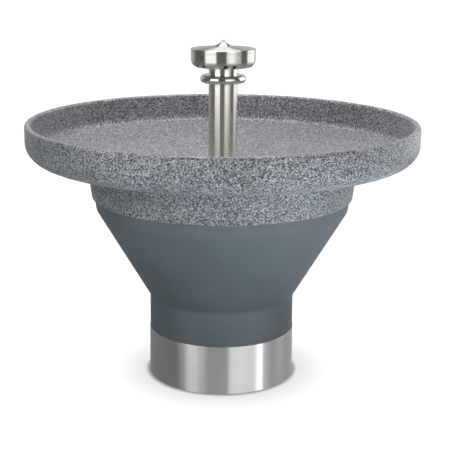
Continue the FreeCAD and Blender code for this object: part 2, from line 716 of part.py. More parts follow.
def window_azimuths():
    """The azimuths of the twelve sensor windows, two to a station."""
    return [station + side * WINDOW_HALF_SPREAD for station in STATION_AZIMUTHS for side in (-1, 1)]


def make_head_shell():
    inner_round = HEAD_CORNER_ROUND - 4
    outline = [
        (NECK_THREAD_RADIUS + 0.2, HEAD_LOW, 0),
        (HEAD_FOOT_RADIUS, HEAD_LOW, 2),
        (HEAD_RADIUS, HEAD_CORNER_HEIGHT, HEAD_CORNER_ROUND),
        (HEAD_RADIUS, HEAD_SEAM, 0),
        (HEAD_RADIUS - 1.8, HEAD_SEAM, 0),
        (HEAD_RADIUS - 1.8, 1160, 0),
        (HEAD_WALL_INSIDE, 1160, 0),
        (HEAD_WALL_INSIDE, HEAD_CORNER_HEIGHT + 2, inner_round),
        (HEAD_FOOT_RADIUS - 1.2, HEAD_LOW + 3, 0),
        (NECK_THREAD_RADIUS + 0.2, HEAD_LOW + 3, 0),
    ]
    seat, outward = window_seat()
    window_cutter = cylinder(WINDOW_RADIUS, 12, seat + outward * 3, -outward)
    nozzle_cutter = cylinder(NOZZLE_RADIUS, 8, point(NOZZLE_CIRCLE, 0, HEAD_LOW - 2))
    cutters = around(window_cutter, window_azimuths()) + around(nozzle_cutter, STATION_AZIMUTHS)
    save("head_shell", without(revolve(outline), cutters))


def make_sensors():
    seat, outward = window_seat()
    lens = cylinder(WINDOW_RADIUS - 0.1, 5.6, seat - outward * 0.4, -outward)
    save("sensor_windows", *around(lens, window_azimuths()))
    pod = box(point(-POD_DEPTH - POD_SIZE.x, -POD_SIZE.y / 2, -POD_SIZE.z / 2), POD_SIZE)
    pod.rotate(ORIGIN, BACK, WINDOW_TILT)
    pod.translate(seat)
    save("sensor_pods", *around(pod, STATION_AZIMUTHS))


def make_nozzles():
    jet = 1.5
    face = NOZZLE_RADIUS - SLIP
    socket = RISER_RADIUS + SLIP
    outline = [
        (jet, HEAD_LOW + 0.2, 0), (face, HEAD_LOW + 0.2, 1), (face, HEAD_LOW + 3, 0), (10.5, HEAD_LOW + 3, 0),
        (10.5, HEAD_LOW + 6, 0), (5, HEAD_LOW + 6, 0), (5, HEAD_LOW + 12.5, 0),
        (socket, HEAD_LOW + 12.5, 0), (socket, HEAD_LOW + NOZZLE_SEAT, 0), (jet, HEAD_LOW + NOZZLE_SEAT, 0),
    ]
    nozzle = moved(revolve(outline), NOZZLE_CIRCLE, 0)
    save("spray_nozzles", *around(nozzle, STATION_AZIMUTHS))


def make_bridge_and_stud():
    clamp = ring(56, NECK_THREAD_RADIUS + SLIP, 8, point(0, 0, HEAD_LOW + 3))
    bar_foot = 1119
    bar = box(point(-54, -6, bar_foot), point(108, 12, 4))
    posts = [box(point(x - 3, -6, bar_foot - 9), point(6, 12, 11)) for x in (-51, 51)]
    boss = cylinder(8, 15, point(0, 0, bar_foot + 2))
    bridge = joined([clamp, bar, boss] + posts)
    stud_foot = point(0, 0, bar_foot - 3)
    bridge = bridge.cut(cylinder(STUD_RADIUS + SLIP / 2, 30, stud_foot))
    save("stud_bridge", at_azimuth(bridge, 43))
    save("cover_stud", cylinder(STUD_RADIUS, STUD_TOP - stud_foot.z, stud_foot))
    save("sensor_board", ring(60, STUD_RADIUS + 2 * SLIP, 1.6, point(0, 0, BOARD_HEIGHT)))


def make_cover():
    bore = STUD_RADIUS + 2 * SLIP
    inside = COVER_RADIUS - 2
    outline = [
        (bore, COVER_CROWN, 0), (COVER_CROWN_RADIUS, COVER_CROWN, 80), (COVER_RADIUS, COVER_RIM, 3),
        (COVER_RADIUS, HEAD_SEAM + 0.5, 0), (inside, HEAD_SEAM + 0.5, 0), (inside, COVER_RIM - COVER_SHEET, 0),
        (COVER_CROWN_RADIUS, COVER_CROWN - COVER_SHEET, 0), (bore, COVER_CROWN - COVER_SHEET, 0),
    ]
    save("head_cover", revolve(outline))
    save("cover_gasket", ring(HEAD_RADIUS - 1.9, HEAD_WALL_INSIDE, 1.8, point(0, 0, 1160)))


def make_finial():
    flare = 28.5
    knob = 7
    bore = STUD_RADIUS + SLIP
    bore_top = STUD_TOP + 1
    outline = [
        (bore, FINIAL_BASE, 0), (flare, FINIAL_BASE, 0), (flare, FINIAL_BASE + 1.3, 0.4),
        (3.4, FINIAL_TOP - 6.8, 4), (knob, FINIAL_TOP - 2.6, 1.2), (knob, FINIAL_TOP - 0.6, 0),
        (0, FINIAL_TOP, 0), (0, bore_top, 0), (bore, bore_top, 0),
    ]
    save("finial_nut", revolve(outline))


# ---------------------------------------------------------------- water supply
def riser_route(azimuth):
    """From the valve's outlet, up and across to the column, up it, and out to the nozzle."""
    valve_x = VALVE_X[azimuth]
    level = RISER_LEVEL[azimuth]
    top = 1130
    return [
        point(valve_x, SERVICE_Y, VALVE_HIGH + 2), point(valve_x, SERVICE_Y, level),
        polar(RISER_CIRCLE, azimuth, level), polar(RISER_CIRCLE, azimuth, top),
        polar(NOZZLE_CIRCLE, azimuth, top), polar(NOZZLE_CIRCLE, azimuth, HEAD_LOW + NOZZLE_SEAT + 2 * SLIP),
    ]


def make_risers():
    tubes = [bent_tube(riser_route(azimuth), RISER_BEND, RISER_RADIUS, 2.2) for azimuth in STATION_AZIMUTHS]
    save("riser_tubes", *tubes)


def make_valves():
    bodies = []
    coils = []
    for number, valve_x in enumerate(sorted(VALVE_X.values()), start=1):
        base = point(valve_x - 14, SERVICE_Y - 15, VALVE_LOW)
        block = box(base, point(28, 30, VALVE_HIGH - VALVE_LOW))
        outlet = cylinder(6, 8, point(valve_x, SERVICE_Y, VALVE_HIGH))
        bores = [
            cylinder(RISER_RADIUS + 0.1, 10, point(valve_x, SERVICE_Y, VALVE_HIGH + 2)),
            cylinder(2, 40, point(valve_x, SERVICE_Y, VALVE_LOW)),
            cylinder(2.5, 15, point(valve_x, SERVICE_Y, COIL_HEIGHT), BACK),
        ]
        bodies.append(without(block.fuse(outlet), bores))
        face = point(valve_x, COIL_FACE_Y, COIL_HEIGHT)
        winding = cylinder(13, COIL_END_Y - COIL_FACE_Y, face, BACK)
        terminals = box(point(valve_x - 6, COIL_FACE_Y + 12, COIL_HEIGHT - 18), point(12, 12, 8))
        coils.append(winding.fuse(terminals).cut(cylinder(PLUNGER_RADIUS + 0.1, 24, face, BACK)))
        plunger = cylinder(PLUNGER_RADIUS, 20.6, point(valve_x, COIL_FACE_Y + 0.4, COIL_HEIGHT), BACK)
        save(f"solenoid_plunger_{number}", plunger)
    save("solenoid_bodies", *bodies)
    save("solenoid_coils", *coils)


def make_manifold():
    length = 250
    tube = cylinder(MANIFOLD_RADIUS, length, point(-length / 2, SERVICE_Y, MANIFOLD_HEIGHT), RIGHT)
    bore = cylinder(MANIFOLD_RADIUS - 2, length - 6, point(3 - length / 2, SERVICE_Y, MANIFOLD_HEIGHT), RIGHT)
    outlets = []
    passages = [bore, cylinder(PIPE_RADIUS + 0.1, 14, point(0, SERVICE_Y, MANIFOLD_HEIGHT - 24))]
    for valve_x in VALVE_X.values():
        outlets.append(cylinder(8, 18, point(valve_x, SERVICE_Y, VALVE_LOW - 18)))
        passages.append(cylinder(4, 19, point(valve_x, SERVICE_Y, VALVE_LOW - 18.5)))
    inlet = cylinder(12, 22, point(0, SERVICE_Y, MANIFOLD_HEIGHT - 24))
    save("manifold", without(joined([tube, inlet] + outlets), passages))
    rail_face = LEG_OFFSET - LEG_WIDTH / 2
    clips = []
    for clip_x in (-80, 80):
        base = point(clip_x - 6, SERVICE_Y, MANIFOLD_HEIGHT)
        collar = ring(MANIFOLD_RADIUS + 2.5, MANIFOLD_RADIUS + 0.05, 12, base, RIGHT)
        foot = box(point(clip_x - 6, rail_face, MANIFOLD_HEIGHT - 6), point(12, 5, 12))
        clips.append(collar.fuse(foot))
    save("manifold_clips", *clips)


def make_mixer():
    front = SERVICE_Y + 18
    drum = cylinder(34, 50, point(0, front - 50, MIXER_HEIGHT), BACK)
    arms = cylinder(14, 112, point(-56, SERVICE_Y, MIXER_HEIGHT), RIGHT)
    outlet = cylinder(14, 50, point(0, SERVICE_Y, MIXER_HEIGHT))
    sockets = [
        cylinder(PIPE_RADIUS + 0.1, 12, point(-56, SERVICE_Y, MIXER_HEIGHT), RIGHT),
        cylinder(PIPE_RADIUS + 0.1, 12, point(44, SERVICE_Y, MIXER_HEIGHT), RIGHT),
        cylinder(PIPE_RADIUS + 0.1, 12, point(0, SERVICE_Y, MIXER_HEIGHT + 38)),
        cylinder(6.1, 16, point(0, front - 16, MIXER_HEIGHT), BACK),
        cylinder(6, 110, point(-55, SERVICE_Y - 14, MIXER_HEIGHT), RIGHT),
    ]
    save("mixing_valve_body", without(joined([drum, arms, outlet]), sockets))
    grip = cylinder(24, 24, point(0, front + 0.5, MIXER_HEIGHT), BACK)
    stem = cylinder(6, 16, point(0, front - 15, MIXER_HEIGHT), BACK)
    knob = grip.fuse(stem)
    for k in range(12):
        turn = math.radians(30 * k)
        groove = point(24.6 * math.cos(turn), front + 4, MIXER_HEIGHT + 24.6 * math.sin(turn))
        knob = knob.cut(cylinder(2.6, 24, groove, BACK))
    save("mixing_valve_knob", knob)


def make_stops():
    bodies = []
    for name, side in (("hot", -1), ("cold", 1)):
        x = side * SUPPLY_X
        base = point(x, SERVICE_Y, STOP_LOW)
        body = cylinder(14, STOP_HIGH - STOP_LOW, base)
        stem_boss = cylinder(10, 28, point(x, SERVICE_Y, STOP_STEM_HEIGHT), BACK)
        bores = [
            cylinder(6, 70, base),
            cylinder(PIPE_RADIUS + 0.1, 10, base),
            cylinder(PIPE_RADIUS + 0.1, 10, point(x, SERVICE_Y, STOP_HIGH - 10)),
            cylinder(4.1, 12, point(x, SERVICE_Y + 16, STOP_STEM_HEIGHT), BACK),
        ]
        bodies.append(without(body.fuse(stem_boss), bores))
        hub = cylinder(11, 12, point(x, SERVICE_Y + 28.5, STOP_STEM_HEIGHT), BACK)
        stem = cylinder(4, 14, point(x, SERVICE_Y + 17, STOP_STEM_HEIGHT), BACK)
        lever = box(point(x - 7, SERVICE_Y + 34, STOP_STEM_HEIGHT), point(14, 6, 58))
        tip = cylinder(7, 6, point(x, SERVICE_Y + 34, STOP_STEM_HEIGHT + 58), BACK)
        save(f"{name}_stop_handle", joined([hub, stem, lever, tip]))
    save("stop_valve_bodies", *bodies)


def make_supply_pipes():
    pipes = []
    for side in (-1, 1):
        x = side * SUPPLY_X
        foot = point(x, SERVICE_Y, PIPE_FOOT)
        stub = cylinder(PIPE_RADIUS, STOP_LOW - PIPE_FOOT, foot)
        spigot = cylinder(SPIGOT_RADIUS, 10, point(x, SERVICE_Y, STOP_LOW))
        bore = cylinder(PIPE_RADIUS - 1, STOP_LOW + 10 - PIPE_FOOT, foot)
        pipes.append(stub.fuse(spigot).cut(bore))
        route = [
            point(x, SERVICE_Y, STOP_HIGH - 10), point(x, SERVICE_Y, MIXER_HEIGHT),
            point(side * 44, SERVICE_Y, MIXER_HEIGHT),
        ]
        pipes.append(bent_tube(route, 22, PIPE_RADIUS, PIPE_RADIUS - 1))
    low = MIXER_HEIGHT + 38
    high = MANIFOLD_HEIGHT - 11
    pipes.append(ring(PIPE_RADIUS, PIPE_RADIUS - 1, high - low, point(0, SERVICE_Y, low)))
    save("supply_pipes", *pipes)


# ---------------------------------------------------------------- controls
def make_controls():
    outer = box(BOX_LOW, BOX_SIZE)
    wall = point(BOX_WALL, BOX_WALL, BOX_WALL)
    inside = box(BOX_LOW + wall, point(BOX_SIZE.x - 2 * BOX_WALL, BOX_SIZE.y, BOX_SIZE.z - 2 * BOX_WALL))
    conduit_x = BOX_LOW.x + 30
    conduit_y = BOX_LOW.y + 25
    glands = [
        cylinder(9.1, 6, point(conduit_x, conduit_y, BOX_LOW.z - 1)),
        cylinder(3.2, 6, point(conduit_x, conduit_y, BOX_LOW.z + BOX_SIZE.z - 4)),
    ]
    save("control_box", without(outer, [inside] + glands))
    lid_y = BOX_LOW.y + BOX_SIZE.y + 0.4
    lid = box(point(BOX_LOW.x, lid_y, BOX_LOW.z), point(BOX_SIZE.x, 3, BOX_SIZE.z))
    screws = []
    for x in (BOX_LOW.x + 6, BOX_LOW.x + BOX_SIZE.x - 6):
        for z in (BOX_LOW.z + 6, BOX_LOW.z + BOX_SIZE.z - 6):
            screws.append(cylinder(3, 1.2, point(x, lid_y + 2.9, z), BACK))
    save("control_box_lid", joined([lid] + screws))
    save("power_conduit", ring(9, 7.5, BOX_LOW.z + 6 - PIPE_FOOT, point(conduit_x, conduit_y, PIPE_FOOT)))
    cable_level = 645
    column_place = polar(12, 313, cable_level)
    route = [
        point(conduit_x, conduit_y, BOX_LOW.z + BOX_SIZE.z - 8), point(conduit_x, conduit_y, cable_level),
        column_place, point(column_place.x, column_place.y, BOARD_HEIGHT),
    ]
    path = rounded_wire(route, [25] * len(route), False)
    save("sensor_cable", swept_round(path, 3))
    print("cable bends 25 mm, length", round(path.Length))


make_bowl()
make_skirt()
make_pedestal_shell()
make_access_panel()
make_kick_ring()
make_floor_ring()
make_legs()
make_top_plate()
make_pads_and_bolts()
make_shell_brackets()
make_service_rails()
make_drain()
make_waste()
make_column()
make_neck_and_trim()
make_head_shell()
make_sensors()
make_nozzles()
make_bridge_and_stud()
make_cover()
make_finial()
make_risers()
make_valves()
make_manifold()
make_mixer()
make_stops()
make_supply_pipes()
make_controls()
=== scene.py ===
# %% [markdown]
# # A round group wash fountain
#
# The object is a washroom fountain for six people at once: a wide shallow bowl of speckled
# solid surface on a painted pedestal, with a stainless column and an infrared spray head in
# the middle. Almost everything that shows is a turned form, so this lesson builds profiles
# and revolves them with numpy, and then spends its effort on finishes: stone chips, brushed
# steel, polished rings and painted sheet.
#
# The frame is the measured model. It is loaded first and never moved, and every new piece
# takes its place from the same measures.

# %% Load the frame
import json
import math
import bmesh
import bpy
import numpy as np
from mathutils import Euler, Matrix, Vector

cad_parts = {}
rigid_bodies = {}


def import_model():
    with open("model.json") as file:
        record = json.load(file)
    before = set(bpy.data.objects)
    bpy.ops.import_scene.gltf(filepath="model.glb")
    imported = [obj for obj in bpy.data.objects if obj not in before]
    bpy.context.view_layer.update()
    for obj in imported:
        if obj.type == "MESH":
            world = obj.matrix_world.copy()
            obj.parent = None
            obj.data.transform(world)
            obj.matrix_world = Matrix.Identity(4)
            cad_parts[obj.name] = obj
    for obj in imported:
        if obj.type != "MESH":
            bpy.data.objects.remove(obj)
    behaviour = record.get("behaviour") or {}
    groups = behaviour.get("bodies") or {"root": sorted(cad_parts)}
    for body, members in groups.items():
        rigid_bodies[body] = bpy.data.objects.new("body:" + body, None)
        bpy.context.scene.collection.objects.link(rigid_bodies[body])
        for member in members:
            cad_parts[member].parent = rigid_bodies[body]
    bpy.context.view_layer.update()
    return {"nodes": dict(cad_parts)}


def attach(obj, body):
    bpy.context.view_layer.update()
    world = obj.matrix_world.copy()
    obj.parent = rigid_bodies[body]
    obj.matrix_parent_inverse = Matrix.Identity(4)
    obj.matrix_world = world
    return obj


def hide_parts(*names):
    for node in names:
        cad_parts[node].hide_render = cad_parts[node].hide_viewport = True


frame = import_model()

# %% [markdown]
# ## Profiles
#
# A turned part is drawn as a half section: a list of corners, each with a radius from the
# axis, a height and a corner rounding, all in millimetres as on a maker's drawing. Blender's
# Screw modifier and the spin tool can turn a drawn curve, but an outline in numbers keeps the
# roundings exact and lets a wall have a true thickness, so the corners are rounded here with
# tangent arcs and the result is handed on in metres.

# %% Rounded outlines
MM = 0.001
SAME_PLACE = 1e-6


def rounded(corners, closed=True, arc_step=9.0, run_step=30.0):
    """The outline through (radius, height, rounding) corners. Each rounding is a circle tangent to
    both runs: its arc leaves a corner at rounding / tan(half the angle between the runs). Arcs
    get a point every arc_step degrees, and straight runs one every run_step millimetres."""
    corners = np.array(corners, dtype=float)
    count = len(corners)
    pieces = []
    for i, (x, z, rounding) in enumerate(corners):
        here = np.array([x, z])
        if rounding == 0 or (not closed and i in (0, count - 1)):
            pieces.append(here[None])
            continue
        back = corners[i - 1, :2] - here
        ahead = corners[(i + 1) % count, :2] - here
        back /= np.linalg.norm(back)
        ahead /= np.linalg.norm(ahead)
        half = math.acos(np.clip(back @ ahead, -1, 1)) / 2
        bisector = (back + ahead) / np.linalg.norm(back + ahead)
        centre = here + bisector * rounding / math.sin(half)
        start = here + back * rounding / math.tan(half) - centre
        turn = math.pi - 2 * half
        steps = max(2, math.ceil(math.degrees(turn) / arc_step))
        sense = np.sign(back[0] * ahead[1] - back[1] * ahead[0])
        angle = -sense * turn * np.linspace(0, 1, steps + 1)
        cos, sin = np.cos(angle), np.sin(angle)
        arc = np.stack([start[0] * cos - start[1] * sin, start[0] * sin + start[1] * cos], 1)
        pieces.append(centre + arc)
    points = np.vstack(pieces)
    if closed:
        points = np.vstack([points, points[:1]])
    keep = np.r_[True, np.linalg.norm(np.diff(points, axis=0), axis=1) > SAME_PLACE]
    points = points[keep]
    lengths = np.linalg.norm(np.diff(points, axis=0), axis=1)
    along = np.r_[0, np.cumsum(lengths)]
    extra = [np.linspace(a, b, max(1, math.ceil((b - a) / run_step)), endpoint=False)
             for a, b in zip(along[:-1], along[1:])]
    places = np.r_[np.concatenate(extra), along[-1:]]
    if closed:
        places = places[:-1]
    return np.stack([np.interp(places, along, points[:, k]) for k in (0, 1)], 1) * MM


square = [(10, 0, 2), (20, 0, 2), (20, 10, 2), (10, 10, 2)]
print("a rounded square has", len(rounded(square)), "points")

# %% [markdown]
# ## From a profile to a solid
#
# Turning the outline gives a grid: one direction runs round the section, the other round the
# axis. Both are computed as whole arrays. A full turn closes on itself; a part turn, such as
# a sheet panel, is closed with a strip of faces at each cut. The signed volume of the result
# tells whether its faces point outwards, and if it is negative every face is reversed.

# %% Revolving and mesh making
SEGMENTS = 240
SHARP_ANGLE = math.radians(35.0)
FLAT_WEIGHT = 60


def polar(radius, azimuth, height):
    """The point at a radius and an azimuth, which is counted in degrees from -Y towards +X."""
    turn = np.radians(azimuth)
    return np.stack(np.broadcast_arrays(radius * np.sin(turn), -radius * np.cos(turn), height), -1)


def revolve(outline, count=SEGMENTS, start=0.0, sweep=360.0, centre=(0.0, 0.0)):
    """Surface of revolution: point (r, z) of the outline goes to (r sin a, -r cos a, z) at azimuth a."""
    full = sweep >= 360
    azimuths = start + sweep * np.arange(count if full else count + 1) / count
    points = polar(outline[None, :, 0], azimuths[:, None], outline[None, :, 1]).reshape(-1, 3)
    points[:, :2] += centre
    size = len(outline)
    i, j = np.meshgrid(np.arange(count), np.arange(size), indexing="ij")
    i_next = (i + 1) % len(azimuths)
    j_next = (j + 1) % size
    faces = np.stack([i * size + j, i * size + j_next, i_next * size + j_next, i_next * size + j], -1)
    faces = faces.reshape(-1, 4)
    if not full:
        half = size // 2
        k = np.arange(half - 1)
        cap = np.stack([k, size - 1 - k, size - 2 - k, k + 1], -1)
        faces = np.vstack([faces, cap, cap[:, ::-1] + count * size])
    return points, faces


def outward(points, faces):
    """The faces, all reversed if the volume that they enclose, summed as tetrahedra, is negative."""
    a, b, c, d = (points[faces[:, k]] for k in range(4))
    volume = np.einsum("ij,ij->", a, np.cross(b, c)) + np.einsum("ij,ij->", a, np.cross(c, d))
    return faces if volume > 0 else faces[:, ::-1]


def weld(mesh):
    """Make one point of those that lie in the same place."""
    work = bmesh.new()
    work.from_mesh(mesh)
    bmesh.ops.remove_doubles(work, verts=work.verts, dist=SAME_PLACE)
    work.to_mesh(mesh)
    work.free()


def piece(name, grids, body, nodes, material):
    """One Blender object from grids of (points, faces). It rides on a body and stands for CAD nodes."""
    points, faces, base = [], [], 0
    for grid_points, grid_faces in grids:
        points.append(grid_points)
        faces.append(outward(grid_points, grid_faces) + base)
        base += len(grid_points)
    mesh = bpy.data.meshes.new(name)
    mesh.from_pydata(np.vstack(points).tolist(), [], np.vstack(faces).tolist())
    weld(mesh)
    mesh.shade_smooth()
    mesh.set_sharp_from_angle(angle=SHARP_ANGLE)
    obj = bpy.data.objects.new(name, mesh)
    bpy.context.scene.collection.objects.link(obj)
    weighted = obj.modifiers.new("even_flats", "WEIGHTED_NORMAL")
    weighted.keep_sharp = True
    weighted.weight = FLAT_WEIGHT
    mesh.materials.append(material)
    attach(obj, body)
    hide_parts(*nodes)
    print(f"{name}: {len(mesh.polygons)} faces, rides on {body}")
    return obj


# %% [markdown]
# ## Shader arithmetic
#
# Node trees are easiest to read as formulas. `Value` wraps an output socket and overloads the
# arithmetic operators, so `1 - mask * 0.3` adds the Math nodes that say so. Anything that is
# not plain arithmetic on numbers comes from `Finish.node`, which takes a node's type, the
# settings that have to be chosen first and then the values or links of its inputs. Numbers
# that are the same all over a piece go straight onto the shader's sockets.

# %% A small language for materials
class Value:
    """An output socket that can be used in Python arithmetic."""

    def __init__(self, finish, socket):
        self.finish = finish
        self.socket = socket

    def __add__(self, other):
        return self.finish.maths("ADD", self, other)

    def __sub__(self, other):
        return self.finish.maths("SUBTRACT", self, other)

    def __rsub__(self, other):
        return self.finish.maths("SUBTRACT", other, self)

    def __mul__(self, other):
        return self.finish.maths("MULTIPLY", self, other)

    def __truediv__(self, other):
        return self.finish.maths("DIVIDE", self, other)

    __radd__ = __add__
    __rmul__ = __mul__


class Finish:
    """One material: its node tree, its shader and the helpers that draw in it."""

    def __init__(self, name, **constants):
        self.material = bpy.data.materials.new(name)
        self.material.use_nodes = True
        self.tree = self.material.node_tree
        self.shader = self.tree.nodes["Principled BSDF"]
        for socket, value in constants.items():
            self.shader.inputs[socket.replace("_", " ")].default_value = value

    def node(self, kind, settings=(), inputs=(), output=0):
        """Add a node: settings first, then socket values or links. Returns the chosen output."""
        made = self.tree.nodes.new(kind)
        for key, value in dict(settings).items():
            if key == "stops":
                self.set_stops(made.color_ramp, value)
            else:
                setattr(made, key, value)
        for key, value in dict(inputs).items():
            self.put(made.inputs[key], value)
        return Value(self, made.outputs[output])

    def set_stops(self, ramp, stops):
        """Colour stops, as (place, colour) pairs in rising order."""
        while len(ramp.elements) > 1:
            ramp.elements.remove(ramp.elements[-1])
        for i, (place, colour) in enumerate(stops):
            element = ramp.elements[0] if i == 0 else ramp.elements.new(place)
            element.position = place
            element.color = (*colour, 1.0)

    def put(self, socket, value):
        if isinstance(value, Value):
            self.tree.links.new(value.socket, socket)
        else:
            socket.default_value = value

    def feed(self, **inputs):
        """Link what varies over the surface to the shader."""
        for name, value in inputs.items():
            self.put(self.shader.inputs[name.replace("_", " ")], value)
        return self.material

    def maths(self, operation, first, second=0.0):
        """A Math node. Operations on one number, such as the square root, ignore the second."""
        return self.node("ShaderNodeMath", {"operation": operation}, {0: first, 1: second})

    def place(self):
        """Object coordinates, which are metres from the fountain's origin."""
        return self.node("ShaderNodeTexCoord", output="Object")

    def parts_of(self, vector):
        """The X, Y and Z of a vector."""
        split = self.node("ShaderNodeSeparateXYZ", (), {0: vector})
        outputs = split.socket.node.outputs
        return [Value(self, outputs[k]) for k in range(3)]

    def noise(self, vector, scale, detail=2.0, roughness=0.5):
        """A cloudy pattern with `scale` features a metre."""
        return self.node("ShaderNodeTexNoise", (), {
            "Vector": vector, "Scale": scale, "Detail": detail, "Roughness": roughness,
        })

    def chips(self, vector, scale, channel):
        """A random tone for each cell of a crumbled pattern: one channel of the cell's colour."""
        cells = self.node("ShaderNodeTexVoronoi", {"feature": "F1"},
                          {"Vector": vector, "Scale": scale, "Randomness": 1.0}, output="Color")
        return self.parts_of(cells)[channel]

    def ramp(self, value, stops):
        return self.node("ShaderNodeValToRGB", {"stops": stops}, {0: value})

    def mix(self, factor, first, second):
        """Mix two colours. The colour sockets of this node are its inputs 6 and 7 and its output 2."""
        return self.node("ShaderNodeMix", {"data_type": "RGBA"}, {0: factor, 6: first, 7: second}, output=2)

    def bump(self, height, distance, strength):
        return self.node("ShaderNodeBump", (), {
            "Strength": strength, "Distance": distance, "Height": height,
        })

    def turned_place(self, across, round_axis=6.0):
        """Coordinates for marks that run round a turned part: (angle, radius, height), in which
        a pattern changes `across` times a metre over radius and height, and slowly with angle."""
        x, y, z = self.parts_of(self.place())
        angle = self.maths("ARCTAN2", y, x)
        radius = self.maths("SQRT", x * x + y * y)
        turned = {0: angle * round_axis, 1: radius * across, 2: z * across}
        return self.node("ShaderNodeCombineXYZ", (), turned)


print("shader language ready")

# %% [markdown]
# ## Finish: speckled solid surface
#
# The bowl and its skirt are cast from a grey resin full of crushed chips, dark, mid and pale,
# from a fraction of a millimetre to a few millimetres wide. An image would tile; a Voronoi
# pattern is the chips themselves, because each cell is a crumb with one random tone. Two
# sizes are laid over each other, and a slow cloud varies the mix as in a real casting. The
# surface is honed: satin, with a soft pearly sheen and almost no relief.

# %% Solid surface
def colour(red, green, blue):
    """A screen colour, 0 to 255, as the linear values that shaders use."""
    screen = np.array([red, green, blue]) / 255
    return tuple(np.where(screen <= 0.04045, screen / 12.92, ((screen + 0.055) / 1.055) ** 2.4))


CHIPS_PER_METRE = 380.0
CRUMBS_PER_METRE = 820.0


def solid_surface():
    stone = Finish("speckled_solid_surface", Specular_IOR_Level=0.5)
    place = stone.place()
    chip_tone = stone.chips(place, CHIPS_PER_METRE, 0)
    crumb_tone = stone.chips(place, CRUMBS_PER_METRE, 1)
    cloud = stone.noise(place, 9.0, 3.0)
    tone = chip_tone * 0.7 + crumb_tone * 0.3 + (cloud - 0.5) * 0.12
    body = stone.ramp(tone, [
        (0.16, colour(26, 27, 31)), (0.34, colour(66, 68, 72)), (0.52, colour(113, 115, 120)),
        (0.68, colour(157, 159, 163)), (0.86, colour(213, 214, 217)),
    ])
    return stone.feed(Base_Color=body, Roughness=crumb_tone * 0.10 + 0.34,
                      Normal=stone.bump(chip_tone, 0.00006, 0.35))


stone_finish = solid_surface()
print("made", stone_finish.name)

# %% [markdown]
# ## Finish: slate paint on sheet
#
# The pedestal is painted sheet in a matt slate blue. Sprayed paint is never quite even: it
# has a fine orange-peel skin and a faint drift in tone. Both are noise, one fine enough to
# break up highlights and one as large as a hand.

# %% Slate paint
def slate_paint():
    paint = Finish("slate_paint", Specular_IOR_Level=0.4)
    place = paint.place()
    drift = paint.noise(place, 5.0, 3.0)
    peel = paint.noise(place, 700.0, 1.0)
    grit = paint.noise(place, 2600.0, 1.0)
    body = paint.ramp(drift, [(0.25, colour(92, 100, 105)), (0.75, colour(102, 110, 115))])
    return paint.feed(Base_Color=body, Roughness=grit * 0.12 + 0.42,
                      Normal=paint.bump(peel, 0.00008, 0.25))


paint_finish = slate_paint()
print("made", paint_finish.name)

# %% [markdown]
# ## Finish: brushed and polished steel
#
# A tube is brushed round its axis, so its scratches spread a reflection up and down and keep
# it crisp from side to side: that is what makes tall hard-edged bands on a column. The shader
# has this as anisotropy, turned a quarter so that the spread runs along the axis. Fine
# scratches are noise that is stretched round the axis. A polished part keeps only a trace of
# them.

# %% Steels
def brushed_steel(name, tone, scratch=1500.0, rough=0.26):
    steel = Finish(name, Metallic=1.0, Anisotropic=1.0, Anisotropic_Rotation=0.25)
    round_axis = steel.turned_place(scratch)
    hair = steel.noise(round_axis, 1.0, 3.0, 0.6)
    smear = steel.noise(steel.place(), 14.0, 2.0)
    dark = colour(*(channel - 14 for channel in tone))
    body = steel.ramp(hair * 0.7 + smear * 0.3, [(0.3, dark), (0.7, colour(*tone))])
    return steel.feed(Base_Color=body, Roughness=hair * 0.08 + (rough - 0.04),
                      Normal=steel.bump(hair, 0.00002, 0.15))


def polished_steel():
    chrome = Finish("polished_steel", Metallic=1.0)
    place = chrome.place()
    wipe = chrome.noise(place, 60.0, 3.0)
    body = chrome.ramp(wipe, [(0.3, colour(205, 206, 206)), (0.7, colour(224, 224, 222))])
    return chrome.feed(Base_Color=body, Roughness=wipe * 0.07 + 0.05,
                       Normal=chrome.bump(wipe, 0.00003, 0.1))


column_finish = brushed_steel("column_steel", (228, 224, 216))
head_finish = brushed_steel("head_steel", (206, 204, 199))
kick_finish = brushed_steel("kick_steel", (202, 202, 200), 1100.0)
chrome_finish = polished_steel()
print("made", column_finish.name, head_finish.name, kick_finish.name, chrome_finish.name)

# %% [markdown]
# ## Finishes for what is inside
#
# Behind the access panel are brass castings, copper tube, zinc-plated steel, black-painted
# legs, white drain fittings, rubber, and moulded plastic. They share two recipes. A metal
# varies in tone and roughness with a cloudy noise, like handling marks and tarnish. A
# moulding has a fine spark-eroded grain and very little else.

# %% Metals and mouldings
def dull_metal(name, tone, shade, rough, cloud_scale=35.0, metallic=1.0):
    metal = Finish(name, Metallic=metallic)
    place = metal.place()
    cloud = metal.noise(place, cloud_scale, 4.0, 0.6)
    grain = metal.noise(place, 1800.0, 1.0)
    body = metal.ramp(cloud, [(0.3, colour(*shade)), (0.7, colour(*tone))])
    return metal.feed(Base_Color=body, Roughness=cloud * 0.2 + grain * 0.08 + (rough - 0.14),
                      Normal=metal.bump(grain, 0.00004, 0.25))


def moulded(name, tone, rough, grain_scale=1400.0, relief=0.00005):
    plastic = Finish(name, Specular_IOR_Level=0.5)
    place = plastic.place()
    grain = plastic.noise(place, grain_scale, 2.0)
    cloud = plastic.noise(place, 12.0, 2.0)
    shade = colour(*(channel * 0.86 for channel in tone))
    body = plastic.ramp(cloud * 0.6 + grain * 0.4, [(0.3, shade), (0.7, colour(*tone))])
    return plastic.feed(Base_Color=body, Roughness=grain * 0.14 + (rough - 0.07),
                        Normal=plastic.bump(grain, relief, 0.3))


